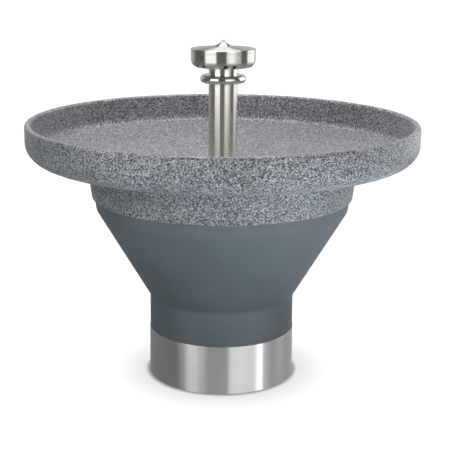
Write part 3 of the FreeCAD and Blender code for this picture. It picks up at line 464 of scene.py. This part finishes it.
brass = dull_metal("cast_brass", (196, 168, 104), (150, 120, 66), 0.36)
copper = dull_metal("copper_tube", (202, 138, 104), (150, 88, 60), 0.30)
zinc = dull_metal("zinc_plate", (186, 188, 186), (146, 148, 146), 0.40)
black_enamel = dull_metal("black_enamel", (44, 46, 48), (30, 31, 33), 0.55, metallic=0.0)
rubber = moulded("black_rubber", (34, 34, 35), 0.8, 900.0)
black_plastic = moulded("black_moulding", (30, 31, 33), 0.5)
grey_plastic = moulded("grey_moulding", (150, 154, 156), 0.5)
white_plastic = moulded("white_fitting", (228, 227, 222), 0.35)
red_plastic = moulded("red_grip", (178, 34, 28), 0.35)
blue_plastic = moulded("blue_grip", (34, 78, 164), 0.35)
window_finish = moulded("window_black", (12, 12, 15), 0.16, 2400.0, 0.00001)
board_finish = moulded("circuit_board_green", (28, 92, 52), 0.4, 300.0)
print("made 12 shop finishes")

# %% Finishes of the carried-over nodes
PLUNGERS = [f"solenoid_plunger_{k}" for k in range(1, 7)]
CARRIED = [
    (black_enamel, ["floor_ring", "frame_legs", "frame_top_plate"]),
    (zinc, ["bowl_bolts", "column_bolts", "cover_stud", "kick_ring_screws", "manifold_clips",
            "panel_screws", "power_conduit", "service_rails", "shell_brackets", "stud_bridge",
            "trim_ring_screws", *PLUNGERS]),
    (rubber, ["bowl_pads", "column_gasket", "cover_gasket", "drain_gasket"]),
    (brass, ["drain_locknut", "manifold", "mixing_valve_body", "solenoid_bodies",
             "stop_valve_bodies", "tailpiece"]),
    (copper, ["supply_pipes"]),
    (white_plastic, ["cleanout_plug", "p_trap", "slip_nuts", "waste_stack"]),
    (black_plastic, ["mixing_valve_knob", "sensor_cable", "sensor_pods", "solenoid_coils"]),
    (grey_plastic, ["control_box", "control_box_lid", "riser_tubes"]),
    (red_plastic, ["hot_stop_handle"]),
    (blue_plastic, ["cold_stop_handle"]),
    (chrome_finish, ["drain_strainer", "spray_nozzles"]),
    (window_finish, ["sensor_windows"]),
    (board_finish, ["sensor_board"]),
]
for made, names in CARRIED:
    for name in names:
        node = frame["nodes"][name]
        node.data.materials.clear()
        node.data.materials.append(made)
print("finished", sum(len(names) for _, names in CARRIED), "carried-over nodes")

# %% [markdown]
# ## The bowl
#
# One casting, about 20 mm thick: a rounded rim, an upright wall that turns under in a large
# soft corner, a shallow cone underneath, and inside a floor that falls to a gutter round a
# raised hub. A subdivided cylinder would blur the roundings into each other, so the section
# is drawn corner by corner and turned.

# %% Bowl and skirt ring
BOWL_RADIUS = 685.8
RIM_HEIGHT = 914.4
SKIRT_TOP = (474.3, 757.6)
UNDERSIDE_SLOPE = math.tan(math.radians(11.49))
FLOOR_THICKNESS = 20.4
WALL_FOOT = 656.0
HUB_TOP = 760
GUTTER = 740
CASTING_FOOT = 718


def underside(radius):
    """Height of the outer underside cone at a radius."""
    return SKIRT_TOP[1] + (radius - SKIRT_TOP[0]) * UNDERSIDE_SLOPE


bowl_section = rounded([
    (40, CASTING_FOOT, 1), (221, CASTING_FOOT, 20), (*SKIRT_TOP, 0),
    (BOWL_RADIUS, underside(BOWL_RADIUS), 65), (BOWL_RADIUS, RIM_HEIGHT, 10), (664, RIM_HEIGHT, 10),
    (WALL_FOOT, underside(WALL_FOOT) + FLOOR_THICKNESS, 28),
    (SKIRT_TOP[0], SKIRT_TOP[1] + FLOOR_THICKNESS, 60),
    (218, GUTTER, 60), (112, GUTTER, 10), (96, HUB_TOP, 5), (40, HUB_TOP, 1),
])
piece("basin", [revolve(bowl_section)], "fountain", ["bowl"], stone_finish)

SKIRT_CLEARANCE = 0.3
SKIRT_FOOT = 649.2
skirt_section = rounded([
    (439, SKIRT_FOOT, 3), (459, SKIRT_FOOT, 7),
    (SKIRT_TOP[0] - SKIRT_CLEARANCE, SKIRT_TOP[1] - SKIRT_CLEARANCE, 0), (454.3, 754.2, 0),
])
piece("basin_skirt", [revolve(skirt_section)], "fountain", ["bowl_skirt"], stone_finish)

# %% [markdown]
# ## The pedestal
#
# Rolled sheet in three runs: an upright band tucked under the skirt, a cone, and a cylinder
# that drops into the kick ring. At the back a panel lifts off, so the shell stops each side
# of it and carries flanges behind the joint. A sheet is a line and the same line shifted by
# its thickness; both are rounded with the same number of points, so the cut ends close with
# a simple strip.

# %% Pedestal shell and access panel
PEDESTAL_TOP = 648.7
PEDESTAL_FOOT = 160.0
PEDESTAL = [
    (450.0, PEDESTAL_TOP, 0), (444.6, 608.2, 30), (256.7, 291.2, 13.5), (256.7, PEDESTAL_FOOT, 0),
]
SHELL_THICKNESS = 2.5
FLANGE_THICKNESS = 2.0
FLANGE_FOOT = 630
HEADER_FOOT = 641.2
PANEL_THICKNESS = 2.0
PANEL_TOP = 640
PANEL_FOOT = 174.5
PANEL_HALF = 50.0
PANEL_GAP = 0.3
HEADER_LAP = 1
FLANGE_LAP = 4


def shifted(line, distance):
    """A line moved towards the axis by a distance, keeping the heights of its ends. Inner corners
    sit where the shifted runs cross, and their roundings grow or shrink by the distance."""
    line = np.array(line, dtype=float)
    runs = np.diff(line[:, :2], axis=0)
    runs /= np.linalg.norm(runs, axis=1)[:, None]
    moved = line.copy()
    moved[0, 0] += distance / runs[0, 1]
    moved[-1, 0] += distance / runs[-1, 1]
    for i in range(1, len(line) - 1):
        before, after = runs[i - 1], runs[i]
        spread = 1 + before @ after
        moved[i, 0] += distance * (before[1] + after[1]) / spread
        moved[i, 1] -= distance * (before[0] + after[0]) / spread
        moved[i, 2] += math.copysign(distance, before[0] * after[1] - before[1] * after[0])
    return moved


def pedestal_line(low, high):
    """The pedestal's outer line between two heights."""
    top, shoulder, waist, foot = PEDESTAL
    share = (np.array([low, high]) - shoulder[1]) / (top[1] - shoulder[1])
    band = shoulder[0] + share * (top[0] - shoulder[0])
    if low > shoulder[1]:
        return [(band[1], high, 0), (band[0], low, 0)]
    return [(band[1], high, 0), shoulder, waist, (foot[0], low, 0)]


def even_line(line):
    """The rounded line as a fixed number of points, spaced so that both faces of a sheet pair up.
    A straight line of two ends needs only three."""
    points = rounded(line, closed=False, arc_step=4.0)
    along = np.r_[0, np.cumsum(np.linalg.norm(np.diff(points, axis=0), axis=1))]
    rows = 3 if len(line) == 2 else 90
    places = np.linspace(0, along[-1], rows)
    return np.stack([np.interp(places, along, points[:, k]) for k in (0, 1)], 1)


def sheet(low, high, depth, thickness, start, sweep):
    """A piece of sheet that follows the pedestal, its outer face at a depth below the paint line."""
    line = pedestal_line(low, high)
    outer = even_line(shifted(line, depth) if depth else line)
    inner = even_line(shifted(line, depth + thickness))
    section = np.vstack([outer, inner[::-1]])
    fewest_steps, degrees_per_step = 8, 1.5
    return revolve(section, max(fewest_steps, round(sweep / degrees_per_step)), start, sweep)


left, right = 180 + PANEL_HALF, 180 - PANEL_HALF
behind_shell = (SHELL_THICKNESS, FLANGE_THICKNESS)
shell_parts = [
    sheet(PEDESTAL_FOOT, PEDESTAL_TOP, 0, SHELL_THICKNESS, left, 360 - 2 * PANEL_HALF),
    sheet(HEADER_FOOT, PEDESTAL_TOP, 0, SHELL_THICKNESS,
          right - HEADER_LAP, 2 * (PANEL_HALF + HEADER_LAP)),
    sheet(FLANGE_FOOT, PEDESTAL_TOP, *behind_shell, right - FLANGE_LAP, 2 * (PANEL_HALF + FLANGE_LAP)),
    sheet(PEDESTAL_FOOT, PEDESTAL_TOP, *behind_shell, right - FLANGE_LAP, 2 * FLANGE_LAP),
    sheet(PEDESTAL_FOOT, PEDESTAL_TOP, *behind_shell, left - FLANGE_LAP, 2 * FLANGE_LAP),
]
piece("pedestal_sheet", shell_parts, "fountain", ["pedestal_shell"], paint_finish)
panel_part = sheet(PANEL_FOOT, PANEL_TOP, 0, PANEL_THICKNESS,
                   right + PANEL_GAP, 2 * (PANEL_HALF - PANEL_GAP))
piece("rear_panel_sheet", [panel_part], "rear_panel", ["access_panel"], paint_finish)

# %% [markdown]
# ## Kick ring
#
# A band of stainless sheet closes the foot against mops and shoes. Its top edge is dressed
# round, which catches a thin bright line.

# %% Kick ring
KICK_INSIDE = 257.0
KICK_RADIUS = 258.5
KICK_FOOT = 0.4
KICK_TOP = 171.4
kick_section = rounded([
    (KICK_INSIDE, KICK_FOOT, 0.3), (KICK_RADIUS, KICK_FOOT, 0.3),
    (KICK_RADIUS, KICK_TOP, 0.7), (KICK_INSIDE, KICK_TOP, 0.7),
], arc_step=30)
piece("kick_band", [revolve(kick_section)], "fountain", ["kick_ring"], kick_finish)

# %% [markdown]
# ## Column, neck and trim ring
#
# A 4 in tube with a welded base flange carries the head. A polished half-round ring hides
# the joint between the column and the shorter neck above it.

# %% Column, neck and trim ring
COLUMN_BORE = 48.4
COLUMN_RADIUS = 50.4
COLUMN_TOP = 1061
FOOT_RADIUS = 88
NECK_BORE = 42
NECK_LAP_TOP = 1061.3
HEAD_FOOT = 1103
THREAD_RADIUS = 46.2
THREAD_TOP = 1118
TUBE_SEGMENTS = 160

column_section = rounded([
    (COLUMN_BORE, 761.5, 0), (FOOT_RADIUS, 761.5, 0), (FOOT_RADIUS, 769.5, 2),
    (COLUMN_RADIUS, 769.5, 4), (COLUMN_RADIUS, COLUMN_TOP, 0.3), (COLUMN_BORE, COLUMN_TOP, 0),
])
column_grid = revolve(column_section, TUBE_SEGMENTS)
piece("column", [column_grid], "fountain", ["column_tube"], column_finish)
neck_section = rounded([
    (NECK_BORE, 1015, 0), (48.2, 1015, 1.5), (48.2, NECK_LAP_TOP, 0),
    (COLUMN_RADIUS, NECK_LAP_TOP, 0.3), (COLUMN_RADIUS, HEAD_FOOT, 0), (THREAD_RADIUS, HEAD_FOOT, 0),
    (THREAD_RADIUS, THREAD_TOP, 1), (NECK_BORE, THREAD_TOP, 0),
])
neck_grid = revolve(neck_section, TUBE_SEGMENTS)
piece("neck", [neck_grid], "fountain", ["neck_tube"], column_finish)
trim_section = rounded([(50.5, 1047, 0), (79.8, 1047, 14.1), (79.8, 1075.5, 14.1), (50.5, 1075.5, 0)])
trim_grid = revolve(trim_section, TUBE_SEGMENTS)
piece("collar_ring", [trim_grid], "fountain", ["trim_ring"], chrome_finish)

# %% [markdown]
# ## Spray head
#
# The head is a spun steel drum with a wide rounded lower corner. Twelve round windows look
# down through that corner, two for each person, and six nozzles sit in the flat underneath.
# The holes are cut with a Boolean modifier, which is then made real, because a grid has no
# way to hold a round hole in its middle.

# %% Head body with its windows
STATIONS = np.array([13, 73, 133, 193, 253, 313])
WINDOW_SPREAD = 8.2
WINDOW_TILT = math.radians(41.0)
WINDOW_RADIUS = 7.1
HEAD_RADIUS = 112.2
CORNER_ROUND = 26.5
CORNER_START = 1128.0
WINDOW_LIFT = 3
WINDOW_DEPTH = 12
NOZZLE_CIRCLE = 75
NOZZLE_START = 1101
NOZZLE_RADIUS = 8
NOZZLE_DEPTH = 7
HEAD_SEAM = 1154.5
HEAD_TOP = 1160
HEAD_SEGMENTS = 180

head_section = rounded([
    (46.4, HEAD_FOOT, 0), (95.7, HEAD_FOOT, 2), (HEAD_RADIUS, 1113.5, CORNER_ROUND),
    (HEAD_RADIUS, HEAD_SEAM, 0.5), (110.4, HEAD_SEAM, 0), (110.4, HEAD_TOP, 0.4),
    (108, HEAD_TOP, 0.4), (108, 1115.5, 22.5), (94.5, 1106, 0), (46.4, 1106, 0),
], arc_step=5, run_step=8)


def rod(base, axis, radius, length, count=40):
    """A closed cylinder: two rings of points on a circle about the axis, with a fan of thin
    quads to each centre."""
    axis = np.array(axis) / np.linalg.norm(axis)
    side = np.cross(axis, (0.0, 0.0, 1.0) if abs(axis[2]) < 0.9 else (1.0, 0.0, 0.0))
    side /= np.linalg.norm(side)
    other = np.cross(axis, side)
    turn = 2 * np.pi * np.arange(count) / count
    circle = radius * (np.cos(turn)[:, None] * side + np.sin(turn)[:, None] * other)
    low, high = base + circle, base + circle + axis * length
    foot, tip = np.broadcast_arrays(base, base + axis * length, low)[:2]
    points = np.stack([foot, low, high, tip], 1).reshape(-1, 3)
    i = np.arange(count)[:, None]
    j = np.arange(3)[None]
    nxt = (i + 1) % count
    faces = np.stack([i * 4 + j, i * 4 + j + 1, nxt * 4 + j + 1, nxt * 4 + j], -1).reshape(-1, 4)
    return points, faces


def cut(target, grids):
    """Take rods out of a piece with a Boolean modifier and keep the result as its mesh."""
    tray = bpy.data.collections.new("knives")
    bpy.context.scene.collection.children.link(tray)
    for number, (points, faces) in enumerate(grids):
        mesh = bpy.data.meshes.new(f"knife_{number}")
        mesh.from_pydata(points.tolist(), [], outward(points - points.mean(0), faces).tolist())
        weld(mesh)
        tray.objects.link(bpy.data.objects.new(f"knife_{number}", mesh))
    boolean = target.modifiers.new("holes", "BOOLEAN")
    boolean.operand_type = "COLLECTION"
    boolean.collection = tray
    boolean.solver = "EXACT"
    weighted = target.modifiers["even_flats"]
    weighted.show_viewport = weighted.show_render = False
    bpy.context.view_layer.update()
    depsgraph = bpy.context.evaluated_depsgraph_get()
    result = bpy.data.meshes.new_from_object(target.evaluated_get(depsgraph))
    weighted.show_viewport = weighted.show_render = True
    target.modifiers.remove(boolean)
    target.data = result
    for knife in list(tray.objects):
        bpy.data.objects.remove(knife)
    bpy.data.collections.remove(tray)
    result.set_sharp_from_angle(angle=SHARP_ANGLE)
    print(f"{target.name}: {len(grids)} holes cut, {len(result.polygons)} faces")


head_grid = revolve(head_section, HEAD_SEGMENTS)
head = piece("head_body", [head_grid], "fountain", ["head_shell"], head_finish)
window_azimuths = np.concatenate([STATIONS - WINDOW_SPREAD, STATIONS + WINDOW_SPREAD])
seat_radius = HEAD_RADIUS - CORNER_ROUND + CORNER_ROUND * math.cos(WINDOW_TILT)
seat_height = CORNER_START - CORNER_ROUND * math.sin(WINDOW_TILT)
seats = polar(seat_radius * MM, window_azimuths, seat_height * MM)
facing = polar(math.cos(WINDOW_TILT), window_azimuths, -math.sin(WINDOW_TILT))
window_knives = [
    rod(seat + out * WINDOW_LIFT * MM, -out, WINDOW_RADIUS * MM, WINDOW_DEPTH * MM)
    for seat, out in zip(seats, facing)
]
nozzle_knives = [
    rod(polar(NOZZLE_CIRCLE * MM, azimuth, NOZZLE_START * MM), (0, 0, 1),
        NOZZLE_RADIUS * MM, NOZZLE_DEPTH * MM)
    for azimuth in STATIONS
]
cut(head, window_knives + nozzle_knives)

# %% [markdown]
# ## Head cover and finial
#
# The cover is spun from thin sheet with a slight crown and a rolled edge that overhangs the
# drum. The finial that holds it down narrows from a wide foot to a thin neck, and carries a
# small knob that widens upwards like a funnel.

# %% Cover and finial
COVER_BORE = 3.2
COVER_CROWN = 1174.6
COVER_CROWN_INSIDE = 1172.4
COVER_CROWN_RADIUS = 26
COVER_RADIUS = 113
COVER_INSIDE = 111
COVER_FOOT = 1155
FINIAL_BORE = 3.1
FINIAL_BASE = 1174.9
FINIAL_FLARE = 28.5
FINIAL_BORE_TOP = 1183.5
FINIAL_SEGMENTS = 96

cover_section = rounded([
    (COVER_BORE, COVER_CROWN, 0), (COVER_CROWN_RADIUS, COVER_CROWN, 80), (COVER_RADIUS, 1165.6, 3),
    (COVER_RADIUS, COVER_FOOT, 0.6), (COVER_INSIDE, COVER_FOOT, 0.6), (COVER_INSIDE, 1163.4, 1.5),
    (COVER_CROWN_RADIUS, COVER_CROWN_INSIDE, 0), (COVER_BORE, COVER_CROWN_INSIDE, 0),
], run_step=10)
cover_grid = revolve(cover_section, HEAD_SEGMENTS)
piece("head_lid", [cover_grid], "cover", ["head_cover"], head_finish)
finial_section = rounded([
    (FINIAL_BORE, FINIAL_BASE, 0), (FINIAL_FLARE, FINIAL_BASE, 0.2), (FINIAL_FLARE, 1176.2, 0.4),
    (3.4, 1189.2, 4), (7, 1193.4, 1.2), (7, 1195.4, 0.4), (0, 1196, 0),
    (0, FINIAL_BORE_TOP, 0), (FINIAL_BORE, FINIAL_BORE_TOP, 0),
])
finial_grid = revolve(finial_section, FINIAL_SEGMENTS)
piece("finial", [finial_grid], "finial", ["finial_nut"], chrome_finish)

# %% [markdown]
# ## Drain
#
# The flange is turned like everything else, but about its own axis towards the front of the
# gutter.

# %% Drain flange
DRAIN = (0.0, -0.165)
DRAIN_SEGMENTS = 120
flange_section = rounded([
    (17, 668, 0), (23, 668, 0), (23, 690, 0), (31.5, 694, 0), (31.5, 740, 0), (48, 740, 0), (48, 744, 3),
    (40, 744, 0.3), (40, 741.5, 0), (28, 741.5, 0.5), (28, 698, 0), (17, 692, 0),
])
flange_grid = revolve(flange_section, DRAIN_SEGMENTS, centre=DRAIN)
piece("drain_rim", [flange_grid], "fountain", ["drain_flange"], chrome_finish)

# %% [markdown]
# ## Camera
#
# A longish lens from a little above the rim, looking slightly down, as a catalogue view is
# taken. The camera leans by less than half a degree, and a small shift frames the object.

# %% Camera
camera_data = bpy.data.cameras.new("camera")
camera_data.sensor_width = 36.0
camera_data.lens = 89.23
camera_data.shift_x = 0.0059
camera_data.shift_y = -0.100
camera = bpy.data.objects.new("camera", camera_data)
camera.location = (0.0, -3.8606, 1.5374)
LOOKING_DOWN = 12.233
LEANING = 0.411
tilt = Euler((math.radians(90 - LOOKING_DOWN), 0, 0)).to_matrix()
camera.rotation_euler = (tilt @ Matrix.Rotation(math.radians(LEANING), 3, "Z")).to_euler()
bpy.context.scene.collection.objects.link(camera)
bpy.context.scene.camera = camera
print("camera at", tuple(camera.location))

# %% [markdown]
# ## Floor
#
# The floor is a white sweep that shows only a soft contact shadow. What the lens sees and
# what the steel sees are different things in such a studio: the lens sees paper lit to
# white, while the room behind the lights is dim. A Light Path node says which ray is asking,
# and a Mix Shader answers with lit paper or with a plain grey. The paper's glow is lower close
# to the foot, by a ramp over the distance from the axis: that draws the contact shadow, so it
# stays the same when a part moves. Reflections don't see the floor at all.

# %% Floor
class Card(Finish):
    """A finish that glows: black paper with an emission that a ramp shapes."""

    def __init__(self, name, strength):
        super().__init__(name, Base_Color=(0, 0, 0, 1), Specular_IOR_Level=0.0, Roughness=1.0,
                         Emission_Strength=strength)


def flat_ring(name, low, high, count=96):
    """A ring of quads between two circles, each given as (radius, height), in metres."""
    azimuths = 360.0 * np.arange(count) / count
    rows = [polar(radius, azimuths, height) for radius, height in (low, high)]
    i = np.arange(count)
    nxt = (i + 1) % count
    faces = np.stack([i, nxt, nxt + count, i + count], 1)
    mesh = bpy.data.meshes.new(name)
    mesh.from_pydata(np.vstack(rows).tolist(), [], faces.tolist())
    obj = bpy.data.objects.new(name, mesh)
    bpy.context.scene.collection.objects.link(obj)
    return obj


def studio_paper(strength=1.06):
    """White paper for the lens, grey for every other ray. It glows more away from the object, and the dim
    glow close to the foot is a painted contact shadow.
    """
    paper = Finish("studio_paper", Roughness=0.9, Specular_IOR_Level=0.0, Emission_Strength=strength)
    place = paper.place()
    drift = paper.noise(place, 0.6, 2.0)
    x, y, _ = paper.parts_of(place)
    distance = paper.maths("SQRT", x * x + y * y)
    # Painted contact shadow: the glow is dim close to the kick ring and rises to full white further out.
    glow = paper.ramp(distance, [
        (0.262, (0.24,) * 3), (0.278, (0.72,) * 3), (0.35, (0.84,) * 3), (0.41, (0.96,) * 3),
        (0.48, (1.0,) * 3),
    ])
    base = paper.ramp(drift, [(0.3, (0.11,) * 3), (0.7, (0.12,) * 3)])
    paper.feed(Base_Color=base, Emission_Color=glow)
    asking = paper.node("ShaderNodeLightPath", output="Is Camera Ray")
    grey = paper.node("ShaderNodeBsdfDiffuse", (), {"Color": (0.25, 0.25, 0.26, 1)})
    lit = Value(paper, paper.shader.outputs[0])
    answer = paper.node("ShaderNodeMixShader", (), {0: asking, 1: grey, 2: lit})
    paper.put(paper.tree.nodes["Material Output"].inputs["Surface"], answer)
    return paper.material


REACH = 30.0
floor_corners = [(-REACH, -REACH, 0), (REACH, -REACH, 0), (REACH, REACH, 0), (-REACH, REACH, 0)]
floor_mesh = bpy.data.meshes.new("floor")
floor_mesh.from_pydata(floor_corners, [], [(0, 1, 2, 3)])
floor = bpy.data.objects.new("floor", floor_mesh)
bpy.context.scene.collection.objects.link(floor)
floor_mesh.materials.append(studio_paper())
floor.visible_glossy = False
print("floor", 2 * REACH, "m square")

# %% [markdown]
# ## Light
#
# Steel shows what stands round it. A product studio hangs white cards and black flags where
# the bright and dark bands of a column should be. Rectangular lights would do for one
# upright tube, but the column, the drum and the kick ring all mirror the same room, so the
# cards here are rings that glow by compass direction. The lens sees none of them. Two rings
# are seen only in reflections: tall cards for the column and the head, and low cards, from far
# under the floor to a little above it, for the kick ring. Two rings give only diffuse light:
# fill cards high up for the bowl, and floor cards that light the pedestal and the underside
# from below. A softbox overhead lights the bowl's floor. The levels were set one by one, so
# the light suits this one view best.

# %% Cards and softbox
def hang_cards(name, low, high, strength, bands, tint=(1.0, 1.0, 1.0), edge=1.2):
    """A ring that glows by azimuth, on its inner side. Bands are (from, level, to, level) in degrees
    and shares of the strength, in rising order; from one band to the next the level runs straight."""
    ring = flat_ring(name, low, high)
    card = Card(name, strength)
    x, y, _ = card.parts_of(card.place())
    angle = card.maths("ARCTAN2", x, 0.0 - y)
    turn = angle / (2 * math.pi) + 0.5
    stops = []
    for start, first, end, last in bands:
        stops.append(((start + edge) / 360 + 0.5, tuple(first * channel for channel in tint)))
        stops.append(((end - edge) / 360 + 0.5, tuple(last * channel for channel in tint)))
    inner_side = card.node("ShaderNodeNewGeometry", output="Backfacing")
    card.feed(Emission_Color=card.mix(inner_side, (0, 0, 0, 1), card.ramp(turn, stops)))
    ring.data.materials.append(card.material)
    ring.visible_camera = False
    ring.visible_shadow = False
    print(name, "has", len(bands), "bands")
    return ring


tall_cards = hang_cards("tall_cards", (3.0, 0.30), (3.0, 3.2), 3.6, [
    (-180, 0.16, -140, 0.16), (-140, 0.16, -118, 0.12), (-118, 0.05, -66, 0.03), (-66, 0.66, -24, 0.66),
    (-24, 0.03, 12, 0.03), (12, 0.44, 28, 0.66), (28, 0.66, 40, 0.58), (40, 0.48, 67, 0.09),
    (67, 0.03, 94, 0.03), (94, 0.54, 142, 0.54), (142, 0.16, 180, 0.16),
])
tall_cards.visible_diffuse = False
low_cards = hang_cards("low_cards", (6.0, -6.0), (6.0, 0.3), 4.5, [
    (-180, 0.06, -57, 0.065), (-57, 0.205, -36, 0.205), (-36, 0.13, 12, 0.15), (12, 0.28, 60, 0.28),
    (60, 1.0, 66, 1.0), (66, 0.26, 84, 0.15), (84, 0.13, 118, 0.11), (118, 0.09, 145, 0.09),
    (145, 0.12, 180, 0.12),
])
low_cards.visible_diffuse = False
fill_cards = hang_cards("fill_cards", (3.0, 1.40), (3.0, 3.6), 5.0, [
    (-180, 0.30, -118, 0.30), (-118, 0.02, -75, 0.02), (-75, 0.08, -52, 0.30), (-52, 0.84, -24, 0.84),
    (-24, 0.04, 8, 0.04), (8, 0.22, 60, 0.16), (60, 0.03, 118, 0.03), (118, 0.30, 180, 0.30),
], tint=(0.96, 0.98, 1.0))
fill_cards.visible_glossy = False
floor_cards = hang_cards("floor_cards", (0.8, 0.01), (2.9, 0.01), 3.8, [
    (-180, 0.45, -125, 0.45), (-120, 0.02, -63, 0.03), (-63, 0.18, -30, 0.32),
    (-30, 0.48, 20, 0.58), (20, 0.92, 70, 1.0), (70, 0.56, 130, 0.30), (130, 0.45, 180, 0.45),
], tint=(0.86, 0.95, 1.0))
floor_cards.visible_glossy = False


def softbox(name, azimuth, distance, height, size, power, aim, tint):
    """An area light on a circle round the fountain, facing a height on its axis. Size is wide by tall."""
    data = bpy.data.lights.new(name, "AREA")
    data.shape = "RECTANGLE"
    data.size, data.size_y = size
    data.energy = power
    data.color = tint
    light = bpy.data.objects.new(name, data)
    light.location = polar(distance, azimuth, height)
    to_axis = Vector((0, 0, aim)) - light.location
    light.rotation_euler = to_axis.to_track_quat("-Z", "Y").to_euler()
    light.visible_camera = False
    bpy.context.scene.collection.objects.link(light)


softbox("overhead", azimuth=180, distance=0.7, height=3.6, size=(2.4, 2.0), power=94, aim=0.6,
        tint=(1.0, 0.985, 0.955))


def room(seen, quiet):
    """The world: white where the lens sees it, a quiet grey for everything else."""
    world = bpy.data.worlds.new("room")
    world.use_nodes = True
    bpy.context.scene.world = world
    tree = world.node_tree
    open_air = tree.nodes["Background"]
    open_air.inputs["Color"].default_value = (*quiet, 1)
    backdrop = tree.nodes.new("ShaderNodeBackground")
    backdrop.inputs["Color"].default_value = (*seen, 1)
    path = tree.nodes.new("ShaderNodeLightPath")
    mix = tree.nodes.new("ShaderNodeMixShader")
    tree.links.new(path.outputs["Is Camera Ray"], mix.inputs[0])
    tree.links.new(open_air.outputs[0], mix.inputs[1])
    tree.links.new(backdrop.outputs[0], mix.inputs[2])
    tree.links.new(mix.outputs[0], tree.nodes["World Output"].inputs[0])


room(seen=(1.0, 1.0, 1.0), quiet=(0.07, 0.07, 0.068))
bpy.context.scene.view_settings.view_transform = "Standard"
print("studio ready")
